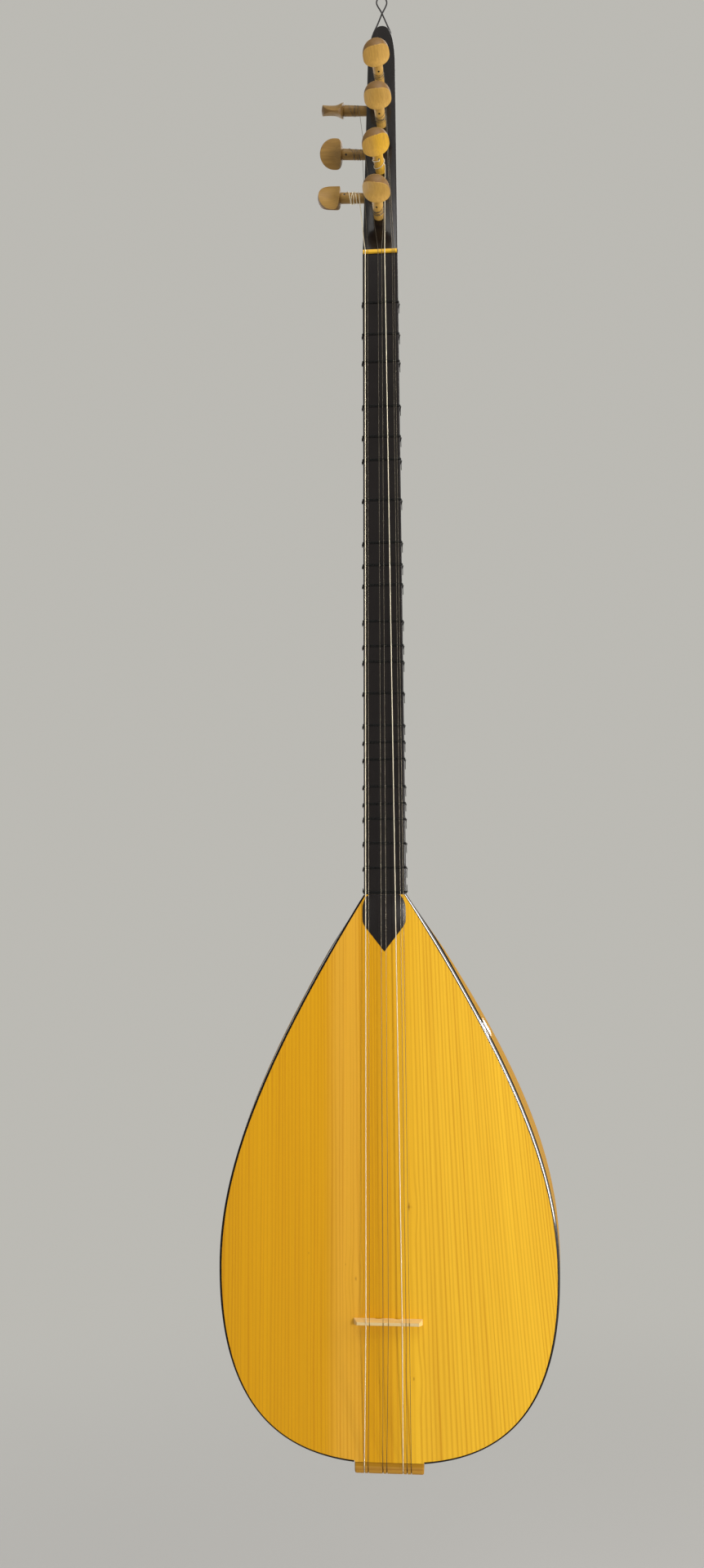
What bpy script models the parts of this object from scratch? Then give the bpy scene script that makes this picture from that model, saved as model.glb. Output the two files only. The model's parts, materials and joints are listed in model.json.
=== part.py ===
"""Baglama: a long-necked lute with seven strings, tied frets and wooden tuning pegs.

Everything is built around the nut: X runs across the neck, Y runs into the bowl, away from the
player's hand, and Z runs up towards the head. The soundboard and the neck's playing face lie at
Y = 0. The whole instrument hangs from a cord loop at its head, and that loop's top is the origin.
Metres throughout.
"""
import math

import bmesh
import bpy
from mathutils import Matrix, Vector

# Strings, neck and frets
SCALE_LENGTH = 0.880
NECK_LENGTH = 0.550
NECK_HALF_WIDTH_NUT = 0.0151
NECK_HALF_WIDTH_JOINT = 0.0172
NECK_DEPTH_NUT = 0.023
NECK_DEPTH_JOINT = 0.030
NECK_EDGE_RADIUS = 0.0012
FRET_WIDTH = 0.0022
FRET_THICKNESS = 0.0007
PLAIN_STRING = 0.00035
WOUND_STRING = 0.00075
STRING_HEIGHT_NUT = 0.0019
STRING_HEIGHT_BRIDGE = 0.0071
NUT_THICKNESS = 0.0032
NUT_STANDS = 0.0021
NUT_SEAT = 0.0025
NUT_INSET = 0.0005

# Bowl, soundboard and what edges it
BOARD_LENGTH = 0.4335
BOARD_HALF_WIDTH = 0.131
BOARD_HALF_WIDTH_JOINT = 0.0153
BOARD_THICKNESS = 0.0047
WIDEST_AT = 0.2895
SHOULDER_ANGLE = math.radians(31.7)
SHOULDER_REACH = 0.162
FLANK_REACH = 0.072
HIP_REACH = 0.1335
TAIL_REACH = 0.0565
BINDING_WIDTH = 0.0015
BOWL_DEPTH = 0.158
DEEPEST_AT = 0.285
KEEL_ANGLE = math.radians(34.0)
KEEL_REACH = 0.150
BELLY_REACH = 0.095
STERN_REACH = 0.081
STERN_RISE = 0.096
BOWL_WALL = 0.004
BOWL_SWELL = 0.0752
BOWL_SWELL_FADE = 0.107
BOWL_SWELL_START = 0.040
BOWL_SWELL_EASE = 0.25
BOWL_CENTRE = 0.47
BOWL_CENTRE_JOINT = 0.25
SOUND_HOLE_RADIUS = 0.011
SOUND_HOLE_DEPTH = 0.066
TENON_LENGTH = 0.022
TENON_HALF_WIDTH = 0.006
TENON_DEPTH = 0.013
NECK_BLOCK_LENGTH = 0.044
END_BLOCK_LENGTH = 0.024
END_BLOCK_HALF_WIDTH = 0.028
END_BLOCK_DEPTH = 0.036
BRACE_AT = 0.212
BRACE_HEIGHT = 0.009
BRACE_THICKNESS = 0.006
TONGUE_LENGTH = 0.046
TONGUE_HALF_WIDTH = 0.0175
TONGUE_HALF_WIDTH_JOINT = 0.0125
TONGUE_WIDEST_AT = 0.016
TONGUE_SHOULDER_AT = 0.030
TONGUE_THICKNESS = 0.0020

# Bridge and the block that holds the strings' lower ends
BRIDGE_HALF_LENGTH = 0.0267
BRIDGE_BASE = 0.0045
BRIDGE_TOP = 0.0022
BRIDGE_END_SLANT = 0.0031
BRIDGE_NOTCH = 0.0003
BRIDGE_ARCH_RADIUS = 0.0046
BRIDGE_ARCH_RISE = 0.0014
BRIDGE_ARCH_SPREAD = 0.0075
TAIL_BLOCK_HALF_WIDTH = 0.0265
TAIL_BLOCK_REACH = 0.0088
TAIL_BLOCK_DEPTH = 0.026
TAIL_BLOCK_ROUND = 0.0035
TAIL_NOTCH_WIDTH = 0.0022
TAIL_NOTCH_DEPTH = 0.0026
TAIL_NOTCH_LENGTH = 0.006
TAIL_GROOVE_DEPTH = 0.0010
TAIL_GROOVE_RAMP = 0.0030
TAIL_GROOVE_PLAY = 0.0002

# Head, pegs and the cord loop
HEAD_CANT = math.radians(13.0)
HEAD_LENGTH = 0.270
HEAD_HALF_WIDTH_TIP = 0.0128
HEAD_TIP_LENGTH = 0.054
HEAD_DEPTH_TIP = 0.0175
SIDE_PEG_DEPTH = 0.0085
PEG_SHAFT_OUT = 0.0220
PEG_RADIUS_HEAD = 0.0047
PEG_RADIUS_FACE = 0.00425
PEG_TAPER = 0.030
PEG_GROOVE_RADIUS = 0.0042
PEG_GROOVE_WIDTH = 0.0008
PEG_KNOB_LENGTH = 0.0201
PEG_KNOB_WIDEST = 0.0069
PEG_KNOB_SHOULDER = 3.6
PEG_WAIST = 0.00415
PEG_FLARE = 0.00275
PEG_FLARE_REACH = 0.0043
PEG_CROWN = 0.00045
PEG_CROWN_START = 0.0088
PEG_RIM_SHARE = 0.12
WINDING_TURNS = 3
WINDING_PITCH = 0.0021
LOOP_CORD = 0.0014
LOOP_HOLE = 0.0013
LOOP_HOLE_FROM_TIP = 0.0047
LOOP_CROSSING = 0.022
LOOP_HEIGHT = 0.041
LOOP_EYE_RADIUS = 0.0048

# Clearances between pieces that touch, pieces that turn, and a string and what carries it
GAP = 0.0003
PEG_GAP = 0.0003
STRING_GAP = 0.0001

# Places of the tied frets in cents above the open string
OCTAVE_FRETS = (90, 150, 204, 294, 358, 408, 498, 598, 652, 702, 796, 862, 906, 996, 1092, 1145, 1200)
UPPER_FRETS = (90, 150, 204, 294, 390, 490)

# name, diameter, place across the nut, the bridge and the tail block as shares of their half widths
STRINGS = (
    ("string_upper_wound", WOUND_STRING, -0.870, -0.630, -0.720),
    ("string_upper_plain", PLAIN_STRING, -0.720, -0.530, -0.610),
    ("string_middle_1", PLAIN_STRING, -0.110, -0.135, -0.185),
    ("string_middle_2", PLAIN_STRING, 0.105, 0.020, -0.070),
    ("string_lower_wound", WOUND_STRING, 0.280, 0.420, 0.400),
    ("string_lower_plain_1", PLAIN_STRING, 0.720, 0.525, 0.515),
    ("string_lower_plain_2", PLAIN_STRING, 0.835, 0.625, 0.635),
)

# The knob's half width and how square its far end is, for the pegs in front and at the side
KNOBS = {"front": (0.0120, 2.4), "side": (0.0127, 2.0)}

# name, row on the head, place up the head, place across it, lean of its outer end in degrees (to the
# left in front, upwards at the side), turn about its own axis, how far out its string leaves it,
# and the string it tunes
PEGS = (
    ("peg_front_1", "front", 0.1976, -0.0012, 3.6, 10.0, 0.0060, "string_lower_plain_2"),
    ("peg_front_2", "front", 0.1463, 0.0005, 3.6, 0.0, 0.0055, "string_lower_plain_1"),
    ("peg_front_3", "front", 0.0923, -0.0002, 4.9, 15.0, 0.0040, "string_lower_wound"),
    ("peg_front_4", "front", 0.0403, -0.0012, 1.0, -12.0, 0.0045, "string_middle_2"),
    ("peg_side_1", "side", 0.1742, 0.0, 5.0, 40.6, 0.0075, "string_middle_1"),
    ("peg_side_2", "side", 0.1213, 0.0, 6.2, -47.7, 0.0032, "string_upper_plain"),
    ("peg_side_3", "side", 0.0709, 0.0, 4.2, -2.0, 0.0050, "string_upper_wound"),
)

BINDING_GROW = GAP + BINDING_WIDTH
RIM = BOARD_THICKNESS + GAP
NECK_TOP = NUT_THICKNESS + GAP
TAIL_Z = -(NECK_LENGTH + BOARD_LENGTH)
TAIL_BLOCK_END = TAIL_Z - GAP - TAIL_BLOCK_REACH
NECK_BACK_SHAPE = 2.5
OUTLINE_STEPS = 22
BOWL_SHAPE = 2.1
INSIDE_START = -6 * GAP
SECTION_STEPS = 11
BOWL_SIDE_STEPS = 4
BOWL_BACK_STEPS = 14
KNOB_FACE_STEPS = 4
KNOB_RIM_STEPS = 3
KNOB_RINGS = (0.0, 0.02, 0.07, 0.15, 0.25, 0.36, 0.50, 0.64, 0.77, 0.87, 0.94, 0.98)


def clear_scene():
    for item in list(bpy.data.objects):
        bpy.data.objects.remove(item)


def collection(name):
    made = bpy.data.collections.new(name)
    bpy.context.scene.collection.children.link(made)
    return made


clear_scene()
PARTS = collection("baglama")
CUTTERS = collection("cutters")


def material(name, colour, roughness, metallic=0.0):
    made = bpy.data.materials.new(name)
    made.use_nodes = True
    shader = made.node_tree.nodes["Principled BSDF"]
    shader.inputs["Base Color"].default_value = (*colour, 1.0)
    shader.inputs["Roughness"].default_value = roughness
    shader.inputs["Metallic"].default_value = metallic
    return made


BLACK_LACQUER = material("black_lacquer", (0.012, 0.011, 0.012), 0.12)
SPRUCE = material("spruce", (0.80, 0.47, 0.12), 0.32)
BOWL_WOOD = material("bowl_wood", (0.48, 0.20, 0.05), 0.18)
PEG_WOOD = material("peg_wood", (0.62, 0.42, 0.20), 0.55)
BRIDGE_WOOD = material("bridge_wood", (0.72, 0.55, 0.33), 0.60)
TAIL_WOOD = material("tail_wood", (0.55, 0.28, 0.08), 0.35)
NUT_WOOD = material("nut_wood", (0.72, 0.52, 0.10), 0.40)
INNER_WOOD = material("inner_wood", (0.60, 0.42, 0.24), 0.75)
NYLON = material("black_nylon", (0.020, 0.020, 0.022), 0.30)
STEEL = material("string_steel", (0.62, 0.61, 0.58), 0.25, 1.0)
WOUND_STEEL = material("wound_string", (0.70, 0.66, 0.58), 0.35, 1.0)
CORD = material("hanging_cord", (0.015, 0.014, 0.015), 0.80)


def new_object(name, mesh, finish, owner=None):
    made = bpy.data.objects.new(name, mesh)
    (owner or PARTS).objects.link(made)
    if finish:
        mesh.materials.clear()
        mesh.materials.append(finish)
    return made


def smooth(item, angle=35.0):
    item.data.shade_smooth()
    item.data.set_sharp_from_angle(angle=math.radians(angle))


def as_cutter(item):
    item.hide_render = True
    item.display_type = "WIRE"
    return item


def mesh_from(bm, name):
    bmesh.ops.recalc_face_normals(bm, faces=bm.faces)
    mesh = bpy.data.meshes.new(name)
    bm.to_mesh(mesh)
    bm.free()
    return mesh


def loft(name, rings, finish, owner=None, closed=False, tip=None):
    """A skin through rings of as many points each, with flat ends, a joined end or a single tip."""
    bm = bmesh.new()
    rows = [[bm.verts.new(point) for point in ring] for ring in rings]
    count = len(rows[0])
    pairs = list(zip(rows, rows[1:]))
    if closed:
        pairs.append((rows[-1], rows[0]))
    for low, high in pairs:
        for i in range(count):
            j = (i + 1) % count
            bm.faces.new((low[i], low[j], high[j], high[i]))
    if not closed:
        bm.faces.new(rows[0])
        if tip:
            point = bm.verts.new(tip)
            for i in range(count):
                bm.faces.new((rows[-1][i], rows[-1][(i + 1) % count], point))
        else:
            bm.faces.new(rows[-1])
    return new_object(name, mesh_from(bm, name), finish, owner)


def plate(name, outline, front, back, finish, owner=None):
    """A flat board whose outline is a list of (x, z), between two depths."""
    bm = bmesh.new()
    face = bm.faces.new([bm.verts.new((x, front, z)) for x, z in outline])
    grown = bmesh.ops.extrude_face_region(bm, geom=[face])
    moved = [item for item in grown["geom"] if isinstance(item, bmesh.types.BMVert)]
    bmesh.ops.translate(bm, verts=moved, vec=(0, back - front, 0))
    return new_object(name, mesh_from(bm, name), finish, owner)


def bar(name, profile, half_length, finish, owner=None, centre=0.0):
    """A straight bar along X whose section is a list of (y, z)."""
    rings = [[(centre + side * half_length, y, z) for y, z in profile] for side in (-1, 1)]
    return loft(name, rings, finish, owner)


def box(name, low, high, finish=None, owner=None):
    bm = bmesh.new()
    bmesh.ops.create_cube(bm, size=1.0)
    size = Vector(high) - Vector(low)
    bmesh.ops.scale(bm, vec=size, verts=bm.verts)
    bmesh.ops.translate(bm, vec=(Vector(low) + Vector(high)) / 2, verts=bm.verts)
    return new_object(name, mesh_from(bm, name), finish, owner)


def cone(name, radius_low, radius_high, low, high, axis, sides=16):
    """A closed cutting cone from one point to another, along a unit axis."""
    bm = bmesh.new()
    length = (Vector(high) - Vector(low)).length
    bmesh.ops.create_cone(
        bm, cap_ends=True, segments=sides, radius1=radius_low, radius2=radius_high, depth=length
    )
    turn = Vector(axis).to_track_quat("Z", "Y").to_matrix().to_4x4()
    middle = Matrix.Translation((Vector(low) + Vector(high)) / 2)
    bmesh.ops.transform(bm, matrix=middle @ turn, verts=bm.verts)
    return as_cutter(new_object(name, mesh_from(bm, name), None, CUTTERS))


def combine(item, tool, operation="DIFFERENCE"):
    """Cut one solid with another and keep the result as a plain mesh."""
    step = item.modifiers.new("cut", "BOOLEAN")
    step.operation = operation
    step.object = tool
    bpy.context.view_layer.update()
    held = item.evaluated_get(bpy.context.evaluated_depsgraph_get())
    mesh = bpy.data.meshes.new_from_object(held)
    item.modifiers.remove(step)
    finish = item.data.materials[0] if item.data.materials else None
    item.data = mesh
    item.data.materials.clear()
    if finish:
        item.data.materials.append(finish)


def clean_small_edges(item, distance=0.00001):
    bm = bmesh.new()
    bm.from_mesh(item.data)
    bmesh.ops.remove_doubles(bm, verts=bm.verts, dist=distance)
    bmesh.ops.dissolve_degenerate(bm, edges=bm.edges, dist=distance)
    bm.to_mesh(item.data)
    bm.free()


def wire(name, points, diameter, finish, sides=1, cyclic=False, owner=None):
    """A round wire or cord along a list of points, its ends closed."""
    curve = bpy.data.curves.new(name, "CURVE")
    curve.dimensions = "3D"
    spline = curve.splines.new("POLY")
    spline.points.add(len(points) - 1)
    for target, point in zip(spline.points, points):
        target.co = (*point, 1.0)
    spline.use_cyclic_u = cyclic
    curve.bevel_depth = diameter / 2
    curve.bevel_resolution = sides
    curve.use_fill_caps = not cyclic
    drawn = bpy.data.objects.new(name + "_path", curve)
    CUTTERS.objects.link(drawn)
    bpy.context.view_layer.update()
    held = drawn.evaluated_get(bpy.context.evaluated_depsgraph_get())
    bm = bmesh.new()
    bm.from_mesh(bpy.data.meshes.new_from_object(held))
    bpy.data.objects.remove(drawn)
    bmesh.ops.remove_doubles(bm, verts=bm.verts, dist=0.000001)
    made = new_object(name, mesh_from(bm, name), finish, owner)
    smooth(made, 60.0)
    return made


def bezier(points, t):
    a, b, c, d = (Vector(point) for point in points)
    s = 1.0 - t
    return s**3 * a + 3 * s * s * t * b + 3 * s * t * t * c + t**3 * d


def height_at(points, along):
    """The second coordinate of a curve that moves steadily along its first one."""
    low, high = 0.0, 1.0
    for _ in range(40):
        middle = (low + high) / 2
        if bezier(points, middle)[0] < along:
            low = middle
        else:
            high = middle
    return bezier(points, (low + high) / 2)[1]


def smooth_route(points, step, cyclic=False):
    """Points about one step apart on a smooth curve through a list of points."""
    count = len(points)
    spans = count if cyclic else count - 1
    route = []
    for i in range(spans):
        if cyclic:
            a, b, c, d = (Vector(points[(i + k) % count]) for k in (-1, 0, 1, 2))
        else:
            a, b, c, d = (Vector(points[min(max(i + k, 0), count - 1)]) for k in (-1, 0, 1, 2))
        parts = max(1, round((c - b).length / step))
        for k in range(parts):
            t = k / parts
            route.append(
                0.5 * (2 * b + (c - a) * t + (2 * a - 5 * b + 4 * c - d) * t * t
                       + (3 * b - a - 3 * c + d) * t**3)
            )
    if not cyclic:
        route.append(Vector(points[-1]))
    return route


# The outline of the soundboard, from the neck joint to the tail
def outline_curves(grow):
    joint = Vector((0.0, BOARD_HALF_WIDTH_JOINT + grow))
    widest = Vector((WIDEST_AT, BOARD_HALF_WIDTH + grow))
    tail = Vector((BOARD_LENGTH + grow, 0.0))
    lean = Vector((math.cos(SHOULDER_ANGLE), math.sin(SHOULDER_ANGLE)))
    upper = (joint, joint + lean * SHOULDER_REACH, widest - Vector((FLANK_REACH, 0)), widest)
    lower = (widest, widest + Vector((HIP_REACH, 0)), tail + Vector((0, TAIL_REACH)), tail)
    return upper, lower


def keel_curves(grow):
    joint = Vector((0.0, NECK_DEPTH_JOINT + grow))
    deepest = Vector((DEEPEST_AT, BOWL_DEPTH + grow))
    tail = Vector((BOARD_LENGTH + BINDING_GROW + grow, 0.0))
    lean = Vector((math.cos(KEEL_ANGLE), math.sin(KEEL_ANGLE)))
    upper = (joint, joint + lean * KEEL_REACH, deepest - Vector((BELLY_REACH, 0)), deepest)
    lower = (deepest, deepest + Vector((STERN_REACH, 0)), tail + Vector((0, STERN_RISE)), tail)
    return upper, lower


def value_at(curves, along):
    upper, lower = curves
    return height_at(upper if along < upper[3][0] else lower, along)


def neck_section(half_width, depth, front=0.0):
    """Points round a neck: a flat face with eased edges and a rounded back."""
    edge = NECK_EDGE_RADIUS
    points = [(-half_width + edge, front), (half_width - edge, front)]
    points.append((half_width - 0.3 * edge, front + 0.3 * edge))
    power = 2.0 / NECK_BACK_SHAPE
    for i in range(SECTION_STEPS + 1):
        angle = math.pi * i / SECTION_STEPS
        across = math.cos(angle)
        x = half_width * math.copysign(abs(across) ** power, across)
        y = front + edge + (depth - edge) * max(math.sin(angle), 0.0) ** power
        points.append((x, y))
    points.append((-half_width + 0.3 * edge, front + 0.3 * edge))
    return points


def neck_share(z):
    return min(max(-z / NECK_LENGTH, 0.0), 1.0)


def neck_size(z):
    """Half width and depth of the neck at a height; the back swells towards the bowl."""
    share = neck_share(z)
    half_width = NECK_HALF_WIDTH_NUT + (NECK_HALF_WIDTH_JOINT - NECK_HALF_WIDTH_NUT) * share
    depth = NECK_DEPTH_NUT + (NECK_DEPTH_JOINT - NECK_DEPTH_NUT) * share**2.5
    return half_width, depth


def grown_ring(points, distance):
    """A closed outline moved outwards by a distance; it runs anticlockwise seen from above."""
    made = []
    count = len(points)
    for i in range(count):
        before = Vector(points[i - 1])
        here = Vector(points[i])
        after = Vector(points[(i + 1) % count])
        one = (here - before).normalized()
        two = (after - here).normalized()
        normal = (Vector((one.y, -one.x)) + Vector((two.y, -two.x))).normalized()
        made.append(here + normal * distance / max(normal.dot(Vector((one.y, -one.x))), 0.5))
    return made


def head_point(x, out, along):
    """A place on the canted head: across, out of its face towards the player, and up it."""
    return Vector((
        x,
        math.sin(HEAD_CANT) * along - math.cos(HEAD_CANT) * out,
        math.cos(HEAD_CANT) * along + math.sin(HEAD_CANT) * out,
    ))


HEAD_FRAME = Matrix.Rotation(-HEAD_CANT, 4, "X")
TIP_START = HEAD_LENGTH - HEAD_TIP_LENGTH


def head_size(along):
    """Half width and depth of the head; past the last peg it closes in a rounded point."""
    share = min(along / TIP_START, 1.0)
    half_width = NECK_HALF_WIDTH_NUT + (HEAD_HALF_WIDTH_TIP - NECK_HALF_WIDTH_NUT) * share
    depth = NECK_DEPTH_NUT + (HEAD_DEPTH_TIP - NECK_DEPTH_NUT) * share
    if along > TIP_START:
        past = min((along - TIP_START) / HEAD_TIP_LENGTH, 1.0)
        half_width *= (1.0 - past**2.2) ** 0.35
        depth *= 1.0 - 0.42 * past**2
    return half_width, depth


LOOP_HOLE_ALONG = HEAD_LENGTH - LOOP_HOLE_FROM_TIP
LOOP_HOLE_SINK = head_size(LOOP_HOLE_ALONG)[1] / 2
LOOP_FOOT = head_point(0.0, -LOOP_HOLE_SINK, LOOP_HOLE_ALONG)
HANGING_POINT = LOOP_FOOT + Vector((0, 0, LOOP_HEIGHT))

NUT_LINE = bpy.data.objects.new("nut_line", None)
PARTS.objects.link(NUT_LINE)
NUT_LINE.location = -HANGING_POINT


def bowl_side(along, grow):
    """Half width at the face, how far the side swells past that, and where it is widest and deepest."""
    half_width = value_at(outline_curves(BINDING_GROW + grow), along)
    depth = value_at(keel_curves(grow), along)
    joint_share = min(max(along / (2 * BOWL_SWELL_START), 0.0), 1.0)
    centre = depth * (BOWL_CENTRE_JOINT + (BOWL_CENTRE - BOWL_CENTRE_JOINT) * joint_share)
    swell = half_width * (BOWL_SWELL - BOWL_SWELL_FADE * along)
    swell *= min(max(along / BOWL_SWELL_START, 0.0), 1.0)
    return half_width, swell, centre, depth


def flank(share):
    """How much of the swell is reached at a share of the way down to where the bowl is widest."""
    return share * (1.0 + BOWL_SWELL_EASE * (1.0 - share**3))


def bowl_ring(along, grow, rim):
    """Points of one cross section of the bowl, from its left rim round the keel to its right rim."""
    half_width, swell, centre, depth = bowl_side(along, grow)
    z = -NECK_LENGTH - along
    right = []
    for i in range(BOWL_SIDE_STEPS):
        y = rim + (centre - rim) * i / BOWL_SIDE_STEPS
        right.append((half_width + swell * flank(y / centre), y))
    back = []
    for i in range(BOWL_BACK_STEPS + 1):
        angle = math.pi * i / BOWL_BACK_STEPS
        side, down = math.cos(angle), max(math.sin(angle), 0.0)
        x = (half_width + swell) * math.copysign(abs(side) ** (2.0 / BOWL_SHAPE), side)
        back.append((x, centre + (depth - centre) * down ** (2.0 / BOWL_SHAPE)))
    left = [(-x, y) for x, y in reversed(right)]
    return [(-x, y, z) for x, y in right + back + left]


def upper_stations(start):
    return [start + (WIDEST_AT - start) * i / 11 for i in range(11)]


def bowl_hull(name, grow, rim, start, owner, finish=None):
    """The bowl's outer form, closed flat at a rim depth, larger or smaller by a margin."""
    tail = BOARD_LENGTH + BINDING_GROW + grow
    stations = upper_stations(start)
    for i in range(12):
        stations.append(WIDEST_AT + (tail - WIDEST_AT) * math.sin(math.radians(90.0 * i / 12.4)))
    rings = [bowl_ring(along, grow, rim) for along in stations]
    return loft(name, rings, finish, owner, tip=(0.0, rim, -NECK_LENGTH - tail))


def board_outline(grow, start):
    """The soundboard's outline as (x, z), round both sides from the joint."""
    upper, lower = outline_curves(grow)
    half = [(value_at((upper, lower), start), start)]
    for curve in (upper, lower):
        for i in range(1, OUTLINE_STEPS + 1):
            place = bezier(curve, i / OUTLINE_STEPS)
            if place[0] > start:
                half.append((max(place[1], 0.0), place[0]))
    right = [(x, -NECK_LENGTH - along) for x, along in half]
    left = [(-x, z) for x, z in reversed(right[:-1])]
    return right + left


def tongue_outline(grow):
    """The dark pointed tongue below the neck: swelling sides, then a straight-sided point."""
    joint = Vector((0.0, TONGUE_HALF_WIDTH_JOINT + grow))
    widest = Vector((TONGUE_WIDEST_AT, TONGUE_HALF_WIDTH + grow))
    tip = Vector((TONGUE_LENGTH + grow * 1.4, 0.0))
    shoulder_width = TONGUE_HALF_WIDTH * 0.71 + grow
    shoulder = Vector((TONGUE_SHOULDER_AT, shoulder_width))
    pull = (TONGUE_WIDEST_AT * 0.5)
    swell = (joint, joint + Vector((pull * 0.7, pull * 0.6)), widest - Vector((pull, 0)), widest)
    lean = (tip - shoulder).normalized()
    round_in = (widest, widest + Vector((pull, 0)), shoulder - lean * pull, shoulder)
    half = [bezier(swell, i / 6) for i in range(7)] + [bezier(round_in, i / 5) for i in range(1, 6)]
    right = [(point[1], -NECK_LENGTH - point[0]) for point in half]
    right[0] = (right[0][0], -NECK_LENGTH - GAP + min(grow, 0.0) + grow)
    left = [(-x, z) for x, z in reversed(right)]
    return right + [(0.0, -NECK_LENGTH - tip[0])] + left


def build_neck():
    heights = [NECK_TOP] + [-NECK_LENGTH * share for share in (0.0, 0.2, 0.4, 0.6, 0.75, 0.88, 0.95, 1.0)]
    rings = []
    for z in heights:
        half_width, depth = neck_size(z)
        rings.append([(x, y, z) for x, y in neck_section(half_width, depth)])
    neck = loft("neck", rings, BLACK_LACQUER)
    tenon_top = RIM + GAP + 0.004
    tenon = box(
        "neck_tenon", (-TENON_HALF_WIDTH, tenon_top, -NECK_LENGTH - TENON_LENGTH),
        (TENON_HALF_WIDTH, tenon_top + TENON_DEPTH, -NECK_LENGTH + TENON_LENGTH / 2), None, CUTTERS,
    )
    combine(neck, as_cutter(tenon), "UNION")
    half_width = NECK_HALF_WIDTH_NUT * 2
    low, high = (-half_width, -NUT_SEAT, 0.0), (half_width, NUT_SEAT, NECK_TOP * 2)
    rebate = box("nut_rebate", low, high, None, CUTTERS)
    combine(neck, as_cutter(rebate))
    smooth(neck, 40.0)


def build_head():
    half_width, depth = neck_size(0.0)
    front = (NECK_TOP + GAP) * math.tan(HEAD_CANT)
    start = [(x, y, NECK_TOP + GAP) for x, y in neck_section(half_width, depth, front)]
    places = [0.060 * TIP_START / 0.2248, 0.42 * TIP_START, 0.72 * TIP_START, TIP_START]
    places = [max(places[0], NECK_DEPTH_NUT * 0.75)] + places[1:]
    places += [TIP_START + HEAD_TIP_LENGTH * share for share in (0.35, 0.6, 0.78, 0.9, 0.965, 0.992)]
    rings = [start]
    for along in places:
        half_width, depth = head_size(along)
        edge = min(half_width, depth)
        section = neck_section(max(half_width, edge * 0.2), depth)
        rings.append([tuple(head_point(x, -y, along)) for x, y in section])
    head = loft("head", rings, BLACK_LACQUER)
    for peg in PEGS:
        name = peg[0]
        seat, through = peg_seat(peg)
        foot, axis = seat.translation, seat.to_3x3() @ Vector((0, 0, 1))
        low = foot - axis * (through + GAP * 20)
        high = foot + axis * 0.004
        start_radius = peg_radius(-through - GAP * 20) + PEG_GAP
        cut = cone(name + "_hole", start_radius, peg_radius(0.004) + PEG_GAP, low, high, axis)
        combine(head, cut)
    left = head_point(-HEAD_HALF_WIDTH_TIP * 2, -LOOP_HOLE_SINK, LOOP_HOLE_ALONG)
    right = head_point(HEAD_HALF_WIDTH_TIP * 2, -LOOP_HOLE_SINK, LOOP_HOLE_ALONG)
    combine(head, cone("loop_hole", LOOP_HOLE, LOOP_HOLE, left, right, (1, 0, 0), 12))
    clean_small_edges(head)
    smooth(head, 40.0)


def peg_radius(out):
    """Radius of a peg's shaft at a distance outside the wood, less than nothing inside it."""
    if out > 0:
        return PEG_RADIUS_FACE + (PEG_RADIUS_HEAD - PEG_RADIUS_FACE) * min(out / PEG_SHAFT_OUT, 1.0)
    return PEG_RADIUS_FACE + PEG_TAPER * out


def peg_seat(peg):
    """Where a peg leaves the head with its frame's Z outwards, unturned, and its length inside."""
    _, row, along, across, lean, _, _, _ = peg
    half_width, depth = head_size(along)
    lean = math.radians(lean)
    if row == "front":
        foot = head_point(across, 0.0, along)
        frame = Matrix.Rotation(-lean, 4, "Z") @ Matrix.Rotation(math.pi / 2, 4, "X")
        through = depth / math.cos(lean)
    else:
        foot = head_point(-half_width, -SIDE_PEG_DEPTH, along)
        frame = Matrix.Rotation(lean - math.pi / 2, 4, "Y")
        through = 2 * half_width / math.cos(lean)
    return Matrix.Translation(foot) @ HEAD_FRAME @ frame, through


def knob_radius(out, knob):
    """Half width of the knob across its carved faces at a distance from its collar."""
    radius, square = knob
    if out > PEG_KNOB_WIDEST:
        past = (out - PEG_KNOB_WIDEST) / (PEG_KNOB_LENGTH - PEG_KNOB_WIDEST)
        return radius * max(1.0 - past**square, 0.0) ** (1.0 / square)
    short = (PEG_KNOB_WIDEST - out) / (PEG_KNOB_WIDEST * 1.025)
    return radius * (1.0 - short**PEG_KNOB_SHOULDER) ** (1.0 / PEG_KNOB_SHOULDER)


def knob_face(out, across, knob):
    """Half thickness between the carved faces: a flare at the collar, and thin towards the rim."""
    flare = PEG_FLARE * math.exp(-((out / PEG_FLARE_REACH) ** 1.6))
    crown = PEG_CROWN * (max(out - PEG_CROWN_START, 0.0) / (PEG_KNOB_LENGTH - PEG_CROWN_START)) ** 2
    lens = max(1.0 - (across / knob[0]) ** 2, 0.0) ** 0.9
    return (PEG_WAIST + flare + crown) * (PEG_RIM_SHARE + (1.0 - PEG_RIM_SHARE) * lens)


def knob_ring(out, knob):
    """One section of the knob: a carved face on each side, joined by arcs of the turned rim."""
    radius = knob_radius(out, knob)
    low, high = 0.0, radius
    for _ in range(30):
        middle = (low + high) / 2
        if middle**2 + knob_face(out, middle, knob) ** 2 < radius**2:
            low = middle
        else:
            high = middle
    corner = max(low, radius * 0.4)
    face = []
    for i in range(KNOB_FACE_STEPS + 1):
        across = corner * (2.0 * i / KNOB_FACE_STEPS - 1.0)
        turned = math.sqrt(max(radius**2 - across**2, 0.0))
        face.append((across, min(knob_face(out, across, knob), turned)))
    edge = math.atan2(face[-1][1], corner)
    rim = []
    for i in range(1, KNOB_RIM_STEPS + 1):
        angle = edge * (1.0 - 2.0 * i / (KNOB_RIM_STEPS + 1))
        rim.append((radius * math.cos(angle), radius * math.sin(angle)))
    half = face + rim
    return [(x, y, PEG_SHAFT_OUT + out) for x, y in half + [(-x, -y) for x, y in half]]


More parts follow.
